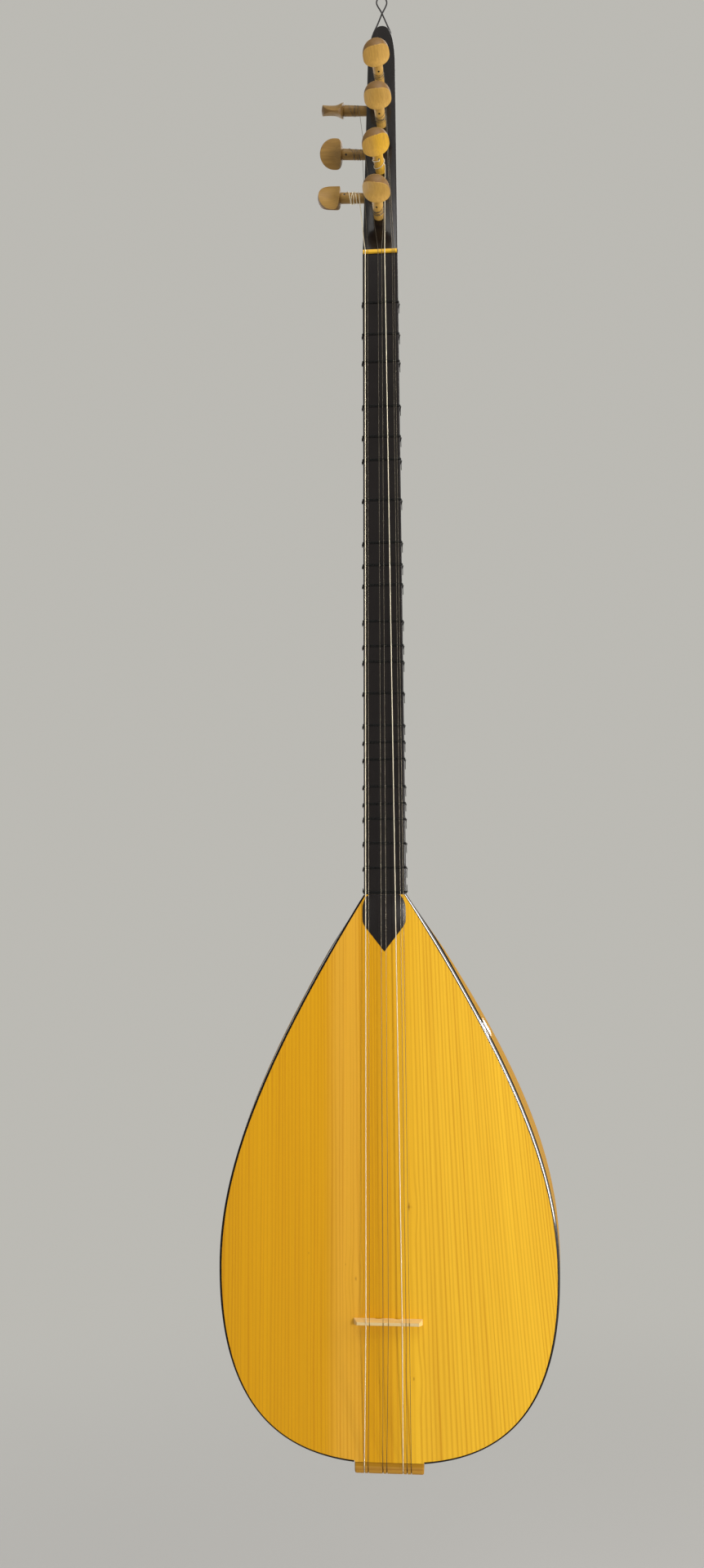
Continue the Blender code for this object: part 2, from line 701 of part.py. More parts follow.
def shaft_ring(radius, z):
    """A round section whose points match those of the knob's sections."""
    count = 2 * (KNOB_FACE_STEPS + KNOB_RIM_STEPS + 1)
    points = []
    for i in range(count):
        angle = math.radians(135.0) - 2.0 * math.pi * i / count
        points.append((radius * math.cos(angle), radius * math.sin(angle), z))
    return points


def build_pegs():
    """Tapered shafts, a groove at the collar, and knobs with a hollow carved on each side."""
    for peg in PEGS:
        name, row, _, _, _, turn, leaves, string = peg
        seat, through = peg_seat(peg)
        inner = through - GAP * 2
        collar = PEG_SHAFT_OUT - PEG_GROOVE_WIDTH
        rings = [
            shaft_ring(peg_radius(-inner), -inner), shaft_ring(PEG_RADIUS_FACE, 0.0),
            shaft_ring(PEG_RADIUS_HEAD, collar), shaft_ring(PEG_GROOVE_RADIUS, collar + 0.0001),
            shaft_ring(PEG_GROOVE_RADIUS, PEG_SHAFT_OUT - 0.0001),
        ]
        rings += [knob_ring(share * PEG_KNOB_LENGTH, KNOBS[row]) for share in KNOB_RINGS]
        made = loft(name, rings, PEG_WOOD, tip=(0.0, 0.0, PEG_SHAFT_OUT + PEG_KNOB_LENGTH))
        seated = seat @ Matrix.Rotation(math.radians(turn), 4, "Z")
        made.parent = NUT_LINE
        made.matrix_local = seated
        smooth(made, 30.0)
        build_winding(name.replace("peg", "winding"), seated, leaves, string)


def string_diameter(name):
    return next(diameter for label, diameter, *_ in STRINGS if label == name)


def build_winding(name, seated, leaves, string):
    """The turns of string on a peg's shaft, in the peg's own frame."""
    diameter = string_diameter(string)
    steps = 12
    points = []
    for i in range(steps * WINDING_TURNS + 1):
        angle = 2 * math.pi * i / steps
        out = leaves + diameter + 2 * GAP + WINDING_PITCH * i / steps
        radius = (peg_radius(out) + diameter / 2 + STRING_GAP) / math.cos(math.pi / steps)
        points.append((radius * math.cos(angle), radius * math.sin(angle), out))
    finish = WOUND_STEEL if diameter == WOUND_STRING else STEEL
    winding = wire(name, points, diameter, finish, 0)
    winding.parent = NUT_LINE
    winding.matrix_local = seated


def build_nut():
    half_width = NECK_HALF_WIDTH_NUT - NUT_INSET
    profile = [
        (NUT_SEAT - GAP, GAP), (NUT_SEAT - GAP, NUT_THICKNESS), (-NUT_STANDS * 0.8, NUT_THICKNESS),
        (-NUT_STANDS, NUT_THICKNESS * 0.7), (-NUT_STANDS, NUT_THICKNESS * 0.35), (-NUT_STANDS * 0.8, GAP),
    ]
    nut = bar("nut", profile, half_width, NUT_WOOD)
    for name, diameter, at_nut, _, _ in STRINGS:
        x = nut_place(at_nut)
        radius = diameter / 2 + STRING_GAP
        low = (x, -STRING_HEIGHT_NUT, -NUT_THICKNESS)
        high = (x, -STRING_HEIGHT_NUT, NUT_THICKNESS * 2)
        combine(nut, cone(name + "_nut_slot", radius, radius, low, high, (0, 0, 1), 8))
        slit = box(
            name + "_nut_slit", (x - radius * 0.9, -STRING_HEIGHT_NUT - NUT_STANDS, -NUT_THICKNESS),
            (x + radius * 0.9, -STRING_HEIGHT_NUT, NUT_THICKNESS * 2), None, CUTTERS,
        )
        combine(nut, as_cutter(slit))
    clean_small_edges(nut)


def nut_place(share):
    return share * (NECK_HALF_WIDTH_NUT - NUT_INSET)


def fret_places():
    cents = list(OCTAVE_FRETS) + [1200 + value for value in UPPER_FRETS]
    places = [SCALE_LENGTH * (1.0 - 2.0 ** (-value / 1200.0)) for value in cents]
    return [place for place in places if place + FRET_WIDTH / 2 + GAP < NECK_LENGTH]


def build_frets():
    """Bands of tied gut or nylon, each wrapped round the neck."""
    for number, place in enumerate(fret_places(), 1):
        rings = []
        section = neck_section(*neck_size(-place))
        eased = FRET_WIDTH * 0.28
        for distance, z in (
            (GAP, -FRET_WIDTH / 2), (GAP, FRET_WIDTH / 2),
            (GAP + FRET_THICKNESS, FRET_WIDTH / 2 - eased), (GAP + FRET_THICKNESS, eased - FRET_WIDTH / 2),
        ):
            rings.append([(point[0], point[1], z) for point in grown_ring(section, distance)])
        fret = loft(f"fret_{number:02d}", rings, NYLON, closed=True)
        fret.location = (0, 0, -place)
        smooth(fret, 50.0)


def build_bowl():
    bowl = bowl_hull("bowl", 0.0, RIM, GAP, PARTS, BOWL_WOOD)
    inside = bowl_hull("bowl_inside", -BOWL_WALL, RIM - GAP * 4, INSIDE_START, CUTTERS)
    combine(bowl, as_cutter(inside))
    low = (0, SOUND_HOLE_DEPTH, TAIL_Z - BINDING_GROW - 0.010)
    high = (0, SOUND_HOLE_DEPTH, TAIL_Z + 0.060)
    combine(bowl, cone("sound_hole", SOUND_HOLE_RADIUS, SOUND_HOLE_RADIUS, low, high, (0, 0, 1), 20))
    clean_small_edges(bowl)
    smooth(bowl, 40.0)


def build_inner_blocks():
    """The block that the neck's tenon enters, and the one behind the strings' pull."""
    margin = BOWL_WALL + GAP
    _, second, third = upper_stations(INSIDE_START)[:3]
    rings = [bowl_ring(along, -margin, RIM) for along in (GAP, second, third)]
    share = (NECK_BLOCK_LENGTH - second) / (third - second)
    rings[2] = [Vector(one).lerp(Vector(two), share) for one, two in zip(rings[1], rings[2])]
    block = loft("neck_block", rings, INNER_WOOD)
    tenon_top = RIM + GAP + 0.004
    mortise = box(
        "neck_mortise", (-TENON_HALF_WIDTH - GAP, tenon_top - GAP, -NECK_LENGTH - TENON_LENGTH - GAP),
        (TENON_HALF_WIDTH + GAP, tenon_top + TENON_DEPTH + GAP, -NECK_LENGTH + GAP * 10), None, CUTTERS,
    )
    combine(block, as_cutter(mortise))
    clean_small_edges(block)
    smooth(block, 40.0)
    inner_tail = TAIL_Z - BINDING_GROW + margin
    end = box(
        "end_block", (-END_BLOCK_HALF_WIDTH, RIM, inner_tail - GAP * 10),
        (END_BLOCK_HALF_WIDTH, RIM + END_BLOCK_DEPTH, inner_tail + END_BLOCK_LENGTH), INNER_WOOD,
    )
    room = bowl_hull("end_block_room", -margin, RIM - GAP * 2, NECK_BLOCK_LENGTH, CUTTERS)
    combine(end, as_cutter(room), "INTERSECT")
    clean_small_edges(end)


def build_brace():
    """One bar glued across the back of the soundboard, thinned at its ends."""
    half_length = value_at(outline_curves(0.0), BRACE_AT) - BOWL_WALL * 1.6
    z = -NECK_LENGTH - BRACE_AT
    low, high = z - BRACE_THICKNESS / 2, z + BRACE_THICKNESS / 2
    top = RIM
    rings = []
    for share, height in ((-1.0, 0.35), (-0.82, 1.0), (0.82, 1.0), (1.0, 0.35)):
        x, deep = share * half_length, top + BRACE_HEIGHT * height
        ease = BRACE_THICKNESS * 0.25
        rings.append([(x, top, low), (x, deep, low + ease), (x, deep, high - ease), (x, top, high)])
    loft("soundboard_brace", rings, INNER_WOOD)


def build_soundboard():
    board = plate("soundboard", board_outline(0.0, GAP), 0.0, BOARD_THICKNESS, SPRUCE)
    pocket = plate(
        "tongue_pocket", tongue_outline(GAP), -TONGUE_THICKNESS, TONGUE_THICKNESS + GAP, None, CUTTERS
    )
    combine(board, as_cutter(pocket))
    clean_small_edges(board)
    plate("tongue", tongue_outline(0.0), 0.0, TONGUE_THICKNESS, BLACK_LACQUER)


def binding_points(t_curve, t, inner_curves, outer_curves):
    """The section of the edge strip at one place on the outline."""
    inner = bezier(inner_curves[t_curve], t)
    outer = bezier(outer_curves[t_curve], t)
    _, swell, centre, _ = bowl_side(min(outer[0], BOARD_LENGTH), 0.0)
    lean = swell * flank(BOARD_THICKNESS / centre)
    z_inner, z_outer = -NECK_LENGTH - inner[0], -NECK_LENGTH - outer[0]
    middle = (inner[1] + outer[1]) / 2
    return [
        (inner[1], 0.0, z_inner),
        (middle, -0.0001, (z_inner + z_outer) / 2),
        (outer[1], BOARD_THICKNESS * 0.14, z_outer),
        (outer[1] + lean, BOARD_THICKNESS, z_outer),
        (inner[1], BOARD_THICKNESS, z_inner),
    ]


def build_binding():
    """Two dark strips, from the neck round each side to the tail block."""
    inner_curves, outer_curves = outline_curves(GAP), outline_curves(BINDING_GROW)
    end = 1.0
    while bezier(inner_curves[1], end)[1] < TAIL_BLOCK_HALF_WIDTH + GAP:
        end -= 0.001
    places = [(0, i / OUTLINE_STEPS) for i in range(OUTLINE_STEPS)]
    lower = [i / OUTLINE_STEPS for i in range(OUTLINE_STEPS)]
    places += [(1, t) for t in lower if t < end - 0.3 / OUTLINE_STEPS]
    places.append((1, end))
    right = [binding_points(curve, t, inner_curves, outer_curves) for curve, t in places]
    top = -NECK_LENGTH - GAP
    right[0] = [(x, y, top) for x, y, z in right[0]]
    left = [[(-x, y, z) for x, y, z in ring] for ring in right]
    for name, rings in (("binding_right", right), ("binding_left", left)):
        strip = loft(name, rings, BLACK_LACQUER)
        smooth(strip, 35.0)


def build_tail_block():
    """The hardwood block over the bowl's end: the strings bend over it and hook behind its lower edge."""
    end, round_off = TAIL_BLOCK_END, TAIL_BLOCK_ROUND
    top = TAIL_Z + 0.020
    profile = [(0.0, top)]
    for i in range(6):
        angle = math.pi / 2 * i / 5
        profile.append((round_off * (1 - math.cos(angle)), end + round_off * (1 - math.sin(angle))))
    back = TAIL_BLOCK_DEPTH
    ease = round_off * 0.4
    profile += [(back - ease, end), (back, end + ease), (back, top)]
    block = bar("tail_block", profile, TAIL_BLOCK_HALF_WIDTH, TAIL_WOOD)
    outline = board_outline(GAP, 0.3 * BOARD_LENGTH)
    seat = plate("tail_board_seat", outline, -BOARD_THICKNESS, RIM, None, CUTTERS)
    combine(block, as_cutter(seat))
    room = bowl_hull("tail_bowl_seat", GAP, RIM - GAP, 0.5 * BOARD_LENGTH, CUTTERS)
    combine(block, as_cutter(room))
    for name, _, _, _, at_tail in STRINGS:
        x = at_tail * TAIL_BLOCK_HALF_WIDTH
        notch = box(
            name + "_tail_notch", (x - TAIL_NOTCH_WIDTH / 2, back - TAIL_NOTCH_LENGTH, end - GAP * 4),
            (x + TAIL_NOTCH_WIDTH / 2, back + GAP * 10, end + TAIL_NOTCH_DEPTH), None, CUTTERS,
        )
        combine(block, as_cutter(notch))
        width = string_diameter(name) + 2 * TAIL_GROOVE_PLAY
        groove = bar(name + "_tail_groove", tail_groove_profile(), width / 2, None, CUTTERS, x)
        combine(block, as_cutter(groove))
    clean_small_edges(block)
    smooth(block, 30.0)


def tail_groove_profile():
    """What a string's groove takes off the block: a ramp, the rounded edge and its whole end."""
    end, round_off, depth = TAIL_BLOCK_END, TAIL_BLOCK_ROUND, TAIL_GROOVE_DEPTH
    outside = TAIL_BLOCK_ROUND
    profile = [(-outside, end - outside), (-outside, end + round_off + TAIL_GROOVE_RAMP)]
    profile.append((0.0, end + round_off + TAIL_GROOVE_RAMP))
    for i in range(5):
        angle = math.pi / 2 * i / 4
        reach = round_off - depth
        profile.append((round_off - reach * math.cos(angle), end + round_off - reach * math.sin(angle)))
    profile += [(TAIL_BLOCK_DEPTH + outside, end + depth), (TAIL_BLOCK_DEPTH + outside, end - outside)]
    return profile


def bridge_top():
    return -STRING_HEIGHT_BRIDGE - BRIDGE_NOTCH


def build_bridge():
    """A low maple bridge that only the strings hold down, with two small arches under it."""
    rings = []
    for side in (-1, 1):
        base_x = side * BRIDGE_HALF_LENGTH
        top_x = side * (BRIDGE_HALF_LENGTH - BRIDGE_END_SLANT)
        rings.append([
            (base_x, -GAP, -BRIDGE_BASE / 2), (base_x, -GAP, BRIDGE_BASE / 2),
            (top_x, bridge_top(), BRIDGE_TOP / 2), (top_x, bridge_top(), -BRIDGE_TOP / 2),
        ])
    bridge = loft("bridge", rings, BRIDGE_WOOD)
    bridge.location = (0, 0, -SCALE_LENGTH)
    for side in (-1, 1):
        centre = (side * BRIDGE_ARCH_SPREAD, BRIDGE_ARCH_RADIUS - BRIDGE_ARCH_RISE - GAP)
        low = (centre[0], centre[1], -SCALE_LENGTH - BRIDGE_BASE)
        high = (centre[0], centre[1], -SCALE_LENGTH + BRIDGE_BASE)
        combine(bridge, cone("bridge_arch", BRIDGE_ARCH_RADIUS, BRIDGE_ARCH_RADIUS, low, high, (0, 0, 1), 24))
    for name, diameter, _, at_bridge, _ in STRINGS:
        x = at_bridge * BRIDGE_HALF_LENGTH
        radius = diameter / 2 + BRIDGE_NOTCH
        low = (x, -STRING_HEIGHT_BRIDGE, -SCALE_LENGTH - BRIDGE_BASE)
        high = (x, -STRING_HEIGHT_BRIDGE, -SCALE_LENGTH + BRIDGE_BASE)
        combine(bridge, cone(name + "_bridge_notch", radius, radius, low, high, (0, 0, 1), 8))
    clean_small_edges(bridge)


def tail_route(x, diameter):
    """A string's way over the block's rounded edge, down its end and round behind its lower edge."""
    clear = diameter / 2 + STRING_GAP
    end, round_off = TAIL_BLOCK_END, TAIL_BLOCK_ROUND
    sunk = TAIL_GROOVE_DEPTH - clear
    points = [(x, -clear, end + round_off + TAIL_GROOVE_RAMP + clear)]
    for i in range(5):
        angle = math.pi / 2 * i / 4
        reach = round_off - sunk
        points.append((x, round_off - reach * math.cos(angle), end + round_off - reach * math.sin(angle)))
    back = TAIL_BLOCK_DEPTH
    floor = end + TAIL_NOTCH_DEPTH - clear
    points.append((x, back - TAIL_NOTCH_LENGTH, end + sunk))
    points.append((x, back - TAIL_NOTCH_LENGTH * 0.5, floor))
    points.append((x, back + clear * 0.5, floor))
    points.append((x, back + clear + GAP, floor + TAIL_NOTCH_DEPTH * 0.5))
    return points


def head_route(peg, x_nut, diameter):
    """A string's way from the nut up to where it leaves for its peg, in the nut's frame."""
    row, along, leaves = peg[1], peg[2], peg[6]
    seat = peg_seat(peg)[0]
    clear = diameter / 2 + STRING_GAP
    if row == "front":
        return [seat @ Vector((peg_radius(leaves) + clear, 0.0, leaves))]
    end = seat @ Vector((0.0, -peg_radius(leaves) - clear, leaves))
    edge_x = -head_size(along * 0.5)[0] + NECK_EDGE_RADIUS * 0.15
    share = min(max((edge_x - x_nut) / (end.x - x_nut), 0.05), 0.95)
    edge = head_point(edge_x, clear + STRING_GAP, along * share)
    return [edge, end]


def build_strings():
    for name, diameter, at_nut, at_bridge, at_tail in STRINGS:
        peg = next(item for item in PEGS if item[7] == name)
        x_nut, x_bridge = nut_place(at_nut), at_bridge * BRIDGE_HALF_LENGTH
        x_tail = at_tail * TAIL_BLOCK_HALF_WIDTH
        route = list(reversed(head_route(peg, x_nut, diameter)))
        route.append((x_nut, -STRING_HEIGHT_NUT, NUT_THICKNESS - GAP))
        route.append((x_nut, -STRING_HEIGHT_NUT, GAP))
        route.append((x_bridge, -STRING_HEIGHT_BRIDGE, -SCALE_LENGTH))
        route += tail_route(x_tail, diameter)
        finish = WOUND_STEEL if diameter == WOUND_STRING else STEEL
        wire(name, route, diameter, finish, 1)


def build_loop():
    """A thin cord through the head's tip; its strands cross once and meet in an eye at the top."""
    mouth = head_size(LOOP_HOLE_ALONG)[0]
    foot = LOOP_FOOT
    aside = LOOP_CORD * 0.65
    half = [
        (mouth * 0.5, 0.0, 0.0),
        (mouth, 0.0, 0.0),
        (mouth + LOOP_CORD * 0.8, 0.0, LOOP_CORD * 1.2),
        (mouth * 0.62, -aside, LOOP_CROSSING * 0.5),
        (0.0, -aside, LOOP_CROSSING),
        (-LOOP_EYE_RADIUS, -aside * 0.5, LOOP_HEIGHT - LOOP_EYE_RADIUS * 1.6),
    ]
    other = [(-x, -y, z) for x, y, z in half]
    top = [(0.0, 0.0, LOOP_HEIGHT)]
    points = [foot + Vector(point) for point in half + top + list(reversed(other))]
    wire("hanging_loop", smooth_route(points, LOOP_CORD * 2.4, cyclic=True), LOOP_CORD, CORD, 1, cyclic=True)


build_neck()
build_head()
build_pegs()
build_nut()
build_frets()
build_bowl()
build_inner_blocks()
build_brace()
build_soundboard()
build_binding()
build_tail_block()
build_bridge()
build_strings()
build_loop()
for item in PARTS.objects:
    if item.type == "EMPTY":
        continue
    if item.parent is None:
        item.parent = NUT_LINE
    finish = item.data.materials[0].copy()
    finish.name = item.name
    item.data.materials[0] = finish
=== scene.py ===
"""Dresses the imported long-necked lute: wood, lacquer, tied frets, strings and turned pegs."""
import json
import math
import random

import bmesh
import bpy
from bpy.props import FloatProperty, FloatVectorProperty, IntProperty, PointerProperty
from mathutils import Matrix, Vector, noise


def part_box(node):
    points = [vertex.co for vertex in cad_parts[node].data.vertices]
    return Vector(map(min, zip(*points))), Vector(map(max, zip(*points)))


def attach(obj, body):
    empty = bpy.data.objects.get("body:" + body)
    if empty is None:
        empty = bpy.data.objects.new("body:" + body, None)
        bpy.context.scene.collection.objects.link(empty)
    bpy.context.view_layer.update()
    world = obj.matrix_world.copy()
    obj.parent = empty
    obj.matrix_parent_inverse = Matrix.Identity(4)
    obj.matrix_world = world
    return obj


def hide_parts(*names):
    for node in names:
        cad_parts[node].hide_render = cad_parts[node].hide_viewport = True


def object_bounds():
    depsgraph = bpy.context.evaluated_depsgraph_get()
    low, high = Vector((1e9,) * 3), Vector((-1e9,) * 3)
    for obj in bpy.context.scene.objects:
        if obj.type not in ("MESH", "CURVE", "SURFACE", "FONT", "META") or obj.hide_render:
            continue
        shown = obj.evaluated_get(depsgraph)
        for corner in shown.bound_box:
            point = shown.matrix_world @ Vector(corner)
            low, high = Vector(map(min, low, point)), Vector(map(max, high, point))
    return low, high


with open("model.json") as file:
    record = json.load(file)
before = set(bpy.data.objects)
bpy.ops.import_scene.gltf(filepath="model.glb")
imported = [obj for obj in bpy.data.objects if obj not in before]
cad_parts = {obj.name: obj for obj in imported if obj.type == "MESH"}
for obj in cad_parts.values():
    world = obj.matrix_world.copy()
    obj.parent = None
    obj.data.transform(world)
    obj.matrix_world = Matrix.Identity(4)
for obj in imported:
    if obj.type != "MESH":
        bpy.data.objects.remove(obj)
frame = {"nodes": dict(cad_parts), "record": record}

bl_info = {
    "name": "Baglama",
    "version": (1, 0, 0),
    "blender": (4, 5, 0),
    "location": "3D View > Sidebar > Baglama",
    "description": "Builds the visible pieces of a long-necked lute round its packed solids",
    "category": "Add Mesh",
}

SEAT_GAP = 0.0003
FACE_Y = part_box("soundboard")[0].y
NUT_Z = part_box("nut")[0].z - SEAT_GAP
NUT_LINE = Vector((0.0, FACE_Y, NUT_Z))
CAD_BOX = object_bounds()
HEAD_CANT = math.radians(13.0)
RECORD_JOINTS = {item["child"]: item for item in frame["record"]["behaviour"]["joints"]}
ROOT = "instrument"

# name, wound or plain, shares across the nut, the bridge and the tail block, and the peg that tunes it
STRINGS = (
    ("string_upper_wound", True, -0.870, -0.630, -0.720, "peg_side_3"),
    ("string_upper_plain", False, -0.720, -0.530, -0.610, "peg_side_2"),
    ("string_middle_1", False, -0.110, -0.135, -0.185, "peg_side_1"),
    ("string_middle_2", False, 0.105, 0.020, -0.070, "peg_front_4"),
    ("string_lower_wound", True, 0.280, 0.420, 0.400, "peg_front_3"),
    ("string_lower_plain_1", False, 0.720, 0.525, 0.515, "peg_front_2"),
    ("string_lower_plain_2", False, 0.835, 0.625, 0.635, "peg_front_1"),
)

# name, row on the head, place up it, place across it, lean of the outer end (to the left in front, upwards at
# the side) and turn in degrees, and how far out its string leaves it
PEGS = (
    ("peg_front_1", "front", 0.1976, -0.0012, 3.6, 10.0, 0.0060),
    ("peg_front_2", "front", 0.1463, 0.0005, 3.6, 0.0, 0.0055),
    ("peg_front_3", "front", 0.0923, -0.0002, 4.9, 15.0, 0.0040),
    ("peg_front_4", "front", 0.0403, -0.0012, 1.0, -12.0, 0.0045),
    ("peg_side_1", "side", 0.1742, 0.0, 5.0, 40.6, 0.0075),
    ("peg_side_2", "side", 0.1213, 0.0, 6.2, -47.7, 0.0032),
    ("peg_side_3", "side", 0.0709, 0.0, 4.2, -2.0, 0.0050),
)

# turns round each shaft, their spacing, and the place of the string's hole
COILS = {
    "peg_front_1": (4.5, 0.0013, 0.0155), "peg_front_2": (5.0, 0.0012, 0.0160), "peg_front_3": (2.0, 0.0036, 0.0166),
    "peg_front_4": (5.0, 0.0011, 0.0150), "peg_side_1": (4.0, 0.0013, 0.0172), "peg_side_2": (5.5, 0.0015, 0.0176),
    "peg_side_3": (4.5, 0.0019, 0.0180),
}

# How far each of the side pegs is painted darker: painted shade for the shade they sit in
SIDE_PEG_SHADE = {"peg_side_1": 0.72, "peg_side_2": 0.74, "peg_side_3": 0.60}

# The knob's half width and how square its far end is, for the pegs in front and at the side
KNOBS = {"front": (0.0120, 2.4), "side": (0.0127, 2.0)}


def length(name, description, default):
    return FloatProperty(name=name, description=description, default=default, unit="LENGTH", precision=5)


def colour(name, description, default):
    return FloatVectorProperty(
        name=name, description=description, default=default, size=3, min=0.0, max=1.0, subtype="COLOR"
    )


class BaglamaSizes(bpy.types.PropertyGroup):
    string_length: length("String length", "From the nut to the bridge", 0.880)
    neck_length: length("Neck length", "From the nut to the bowl", 0.550)
    neck_half_nut: length("Neck half width at the nut", "Half the neck's width at the nut", 0.0151)
    neck_half_joint: length("Neck half width at the bowl", "Half the neck's width at the bowl", 0.0172)
    neck_depth_nut: length("Neck depth at the nut", "Face to back at the nut", 0.023)
    neck_depth_joint: length("Neck depth at the bowl", "Face to back at the bowl", 0.030)
    neck_edge: length("Neck edge", "Rounding where the face meets the side", 0.0012)
    board_length: length("Soundboard length", "From the neck to the tail", 0.4335)
    board_half: length("Soundboard half width", "Half of its greatest width", 0.131)
    board_half_joint: length("Soundboard half width at the neck", "Half its width at the neck", 0.0153)
    board_thick: length("Soundboard thickness", "Thickness of the spruce", 0.0047)
    board_widest: length("Widest place", "From the neck to the greatest width", 0.2895)
    binding: length("Edge strip width", "Width of the dark strip seen from the front", 0.0015)
    bowl_depth: length("Bowl depth", "From the face to the keel", 0.158)
    bowl_wall: length("Bowl wall", "Thickness of the staves", 0.004)
    bowl_edging: length("Bowl edging", "How far the black edging reaches down the bowl's side", 0.013)
    bowl_staves: IntProperty(name="Staves", description="Strips glued side by side round the bowl", default=15)
    sound_hole: length("Sound hole radius", "Radius of the hole in the bowl's tail end", 0.011)
    head_length: length("Head length", "From the nut to the tip", 0.270)
    head_half_tip: length("Head half width at the tip", "Half its width where it starts to close", 0.0128)
    head_tip: length("Head tip length", "Length of the rounded end", 0.054)
    head_depth_tip: length("Head depth at the tip", "Face to back where it starts to close", 0.0175)
    plain_string: length("Plain string", "Diameter of a plain string", 0.00035)
    wound_string: length("Wound string", "Diameter of a wound string", 0.00075)
    fret_line: length("Fret line", "Diameter of the nylon line", 0.00062)
    cord: length("Hanging cord", "Diameter of the cord", 0.0014)
    peg_shaft: length("Peg shaft", "Length of shaft outside the wood", 0.0220)
    peg_face: length("Peg radius at the head", "Radius of the shaft where it enters the wood", 0.00425)
    peg_head: length("Peg radius at the knob", "Radius of the shaft at the knob's collar", 0.0047)
    peg_knob_length: length("Peg knob length", "Length of a peg's knob", 0.0201)
    peg_waist: length("Peg knob waist", "Half thickness between the carved faces", 0.00415)
    bridge_half: length("Bridge half length", "Half of the bridge's length", 0.0267)
    bridge_top: length("Bridge height", "From the soundboard to the bridge's top", 0.0074)
    bridge_slant: length("Bridge end slant", "How far each end leans in at the top", 0.0031)
    tail_half: length("Tail block half width", "Half of the block's width", 0.0265)
    tail_reach: length("Tail block reach", "How far the block stands past the soundboard", 0.0088)
    tail_depth: length("Tail block depth", "From the face to the block's back", 0.026)


class BaglamaColours(bpy.types.PropertyGroup):
    spruce: colour("Spruce", "Varnished soundboard left of the middle", (0.70, 0.345, 0.003))
    # Painted light: the right half gets this lighter tone for the light falling on it from the right
    spruce_lit_right: colour("Spruce, right", "Varnished soundboard right of the middle", (0.88, 0.51, 0.028))
    spruce_dark: colour("Spruce grain", "Darker summer growth", (0.50, 0.205, 0.002))
    spruce_pale: colour("Pale spruce", "Paler strip beside the middle", (0.77, 0.40, 0.040))
    spruce_knot: colour("Spruce knots", "Small dark marks in the board", (0.24, 0.085, 0.008))
    lacquer: colour("Black lacquer", "Neck, head and edge strips", (0.006, 0.004, 0.004))
    bowl: colour("Bowl wood", "Golden brown staves", (0.50, 0.25, 0.010))
    bowl_dark: colour("Bowl grain", "Grain and seams of the staves", (0.28, 0.115, 0.010))
    peg: colour("Peg wood", "Bare carved faces and shafts", (0.62, 0.365, 0.085))
    peg_dark: colour("Peg grain", "Growth lines and pores of the pegs", (0.36, 0.18, 0.035))
    peg_rim: colour("Peg rim", "Darker turned rim of the knobs", (0.26, 0.135, 0.036))
    peg_gold: colour("Golden peg wood", "Yellow heart of one peg", (0.74, 0.41, 0.012))
    # Painted shade: a darker tone laid on the side pegs for the shade they sit in, not from age or handling
    peg_side_shade: colour("Aged peg wood", "Side pegs, darkened by handling", (0.16, 0.085, 0.020))
    bridge: colour("Bridge wood", "Pale bare wood", (0.90, 0.62, 0.23))
    tail: colour("Tail block wood", "Varnished hardwood", (0.50, 0.26, 0.040))
    nut: colour("Nut wood", "Golden varnished wood", (0.80, 0.47, 0.030))
    inner: colour("Inner wood", "Bare wood inside the bowl", (0.58, 0.42, 0.25))
    nylon: colour("Fret line", "Black nylon", (0.003, 0.003, 0.003))
    steel: colour("Plain steel", "Plain strings", (0.18, 0.158, 0.12))
    wound: colour("Wound steel", "Wound strings", (0.86, 0.78, 0.60))
    cord: colour("Cord", "Hanging cord", (0.010, 0.009, 0.011))
    floor: colour("Floor", "Pale studio floor", (0.60, 0.59, 0.56))
    backdrop: colour("Background", "Pale warm grey behind the instrument", (0.50, 0.49, 0.455))


def sizes():
    return bpy.context.scene.baglama_sizes


def colours():
    return bpy.context.scene.baglama_colours


class Socket:
    """One number in a material, which can be added, multiplied and compared in plain sums."""

    def __init__(self, finish, link):
        self.finish = finish
        self.link = link

    def sum(self, operation, one, two):
        return self.finish.node("ShaderNodeMath", {"operation": operation}, one, two)

    def __add__(self, other):
        return self.sum("ADD", self, other)

    def __radd__(self, other):
        return self.sum("ADD", other, self)

    def __sub__(self, other):
        return self.sum("SUBTRACT", self, other)

    def __rsub__(self, other):
        return self.sum("SUBTRACT", other, self)

    def __mul__(self, other):
        return self.sum("MULTIPLY", self, other)

    def __rmul__(self, other):
        return self.sum("MULTIPLY", other, self)

    def __truediv__(self, other):
        return self.sum("DIVIDE", self, other)

    def __gt__(self, other):
        return self.sum("GREATER_THAN", self, other)

    def __lt__(self, other):
        return self.sum("LESS_THAN", self, other)

    def power(self, other):
        return self.sum("POWER", self, other)

    def size(self):
        return self.finish.node("ShaderNodeMath", {"operation": "ABSOLUTE"}, self)

    def sine(self):
        return self.finish.node("ShaderNodeMath", {"operation": "SINE"}, self)

    def part(self):
        return self.finish.node("ShaderNodeMath", {"operation": "FRACT"}, self)

    def whole(self):
        return self.finish.node("ShaderNodeMath", {"operation": "FLOOR"}, self)

    def clip(self):
        return self.finish.node("ShaderNodeMath", {"operation": "ADD", "use_clamp": True}, self, 0.0)

    def span(self, low, high, start=0.0, end=1.0):
        """This number from low to high, moved to start to end and held there."""
        return self.finish.node(
            "ShaderNodeMapRange", {"clamp": True, "interpolation_type": "SMOOTHSTEP"}, self, low, high, start, end
        )


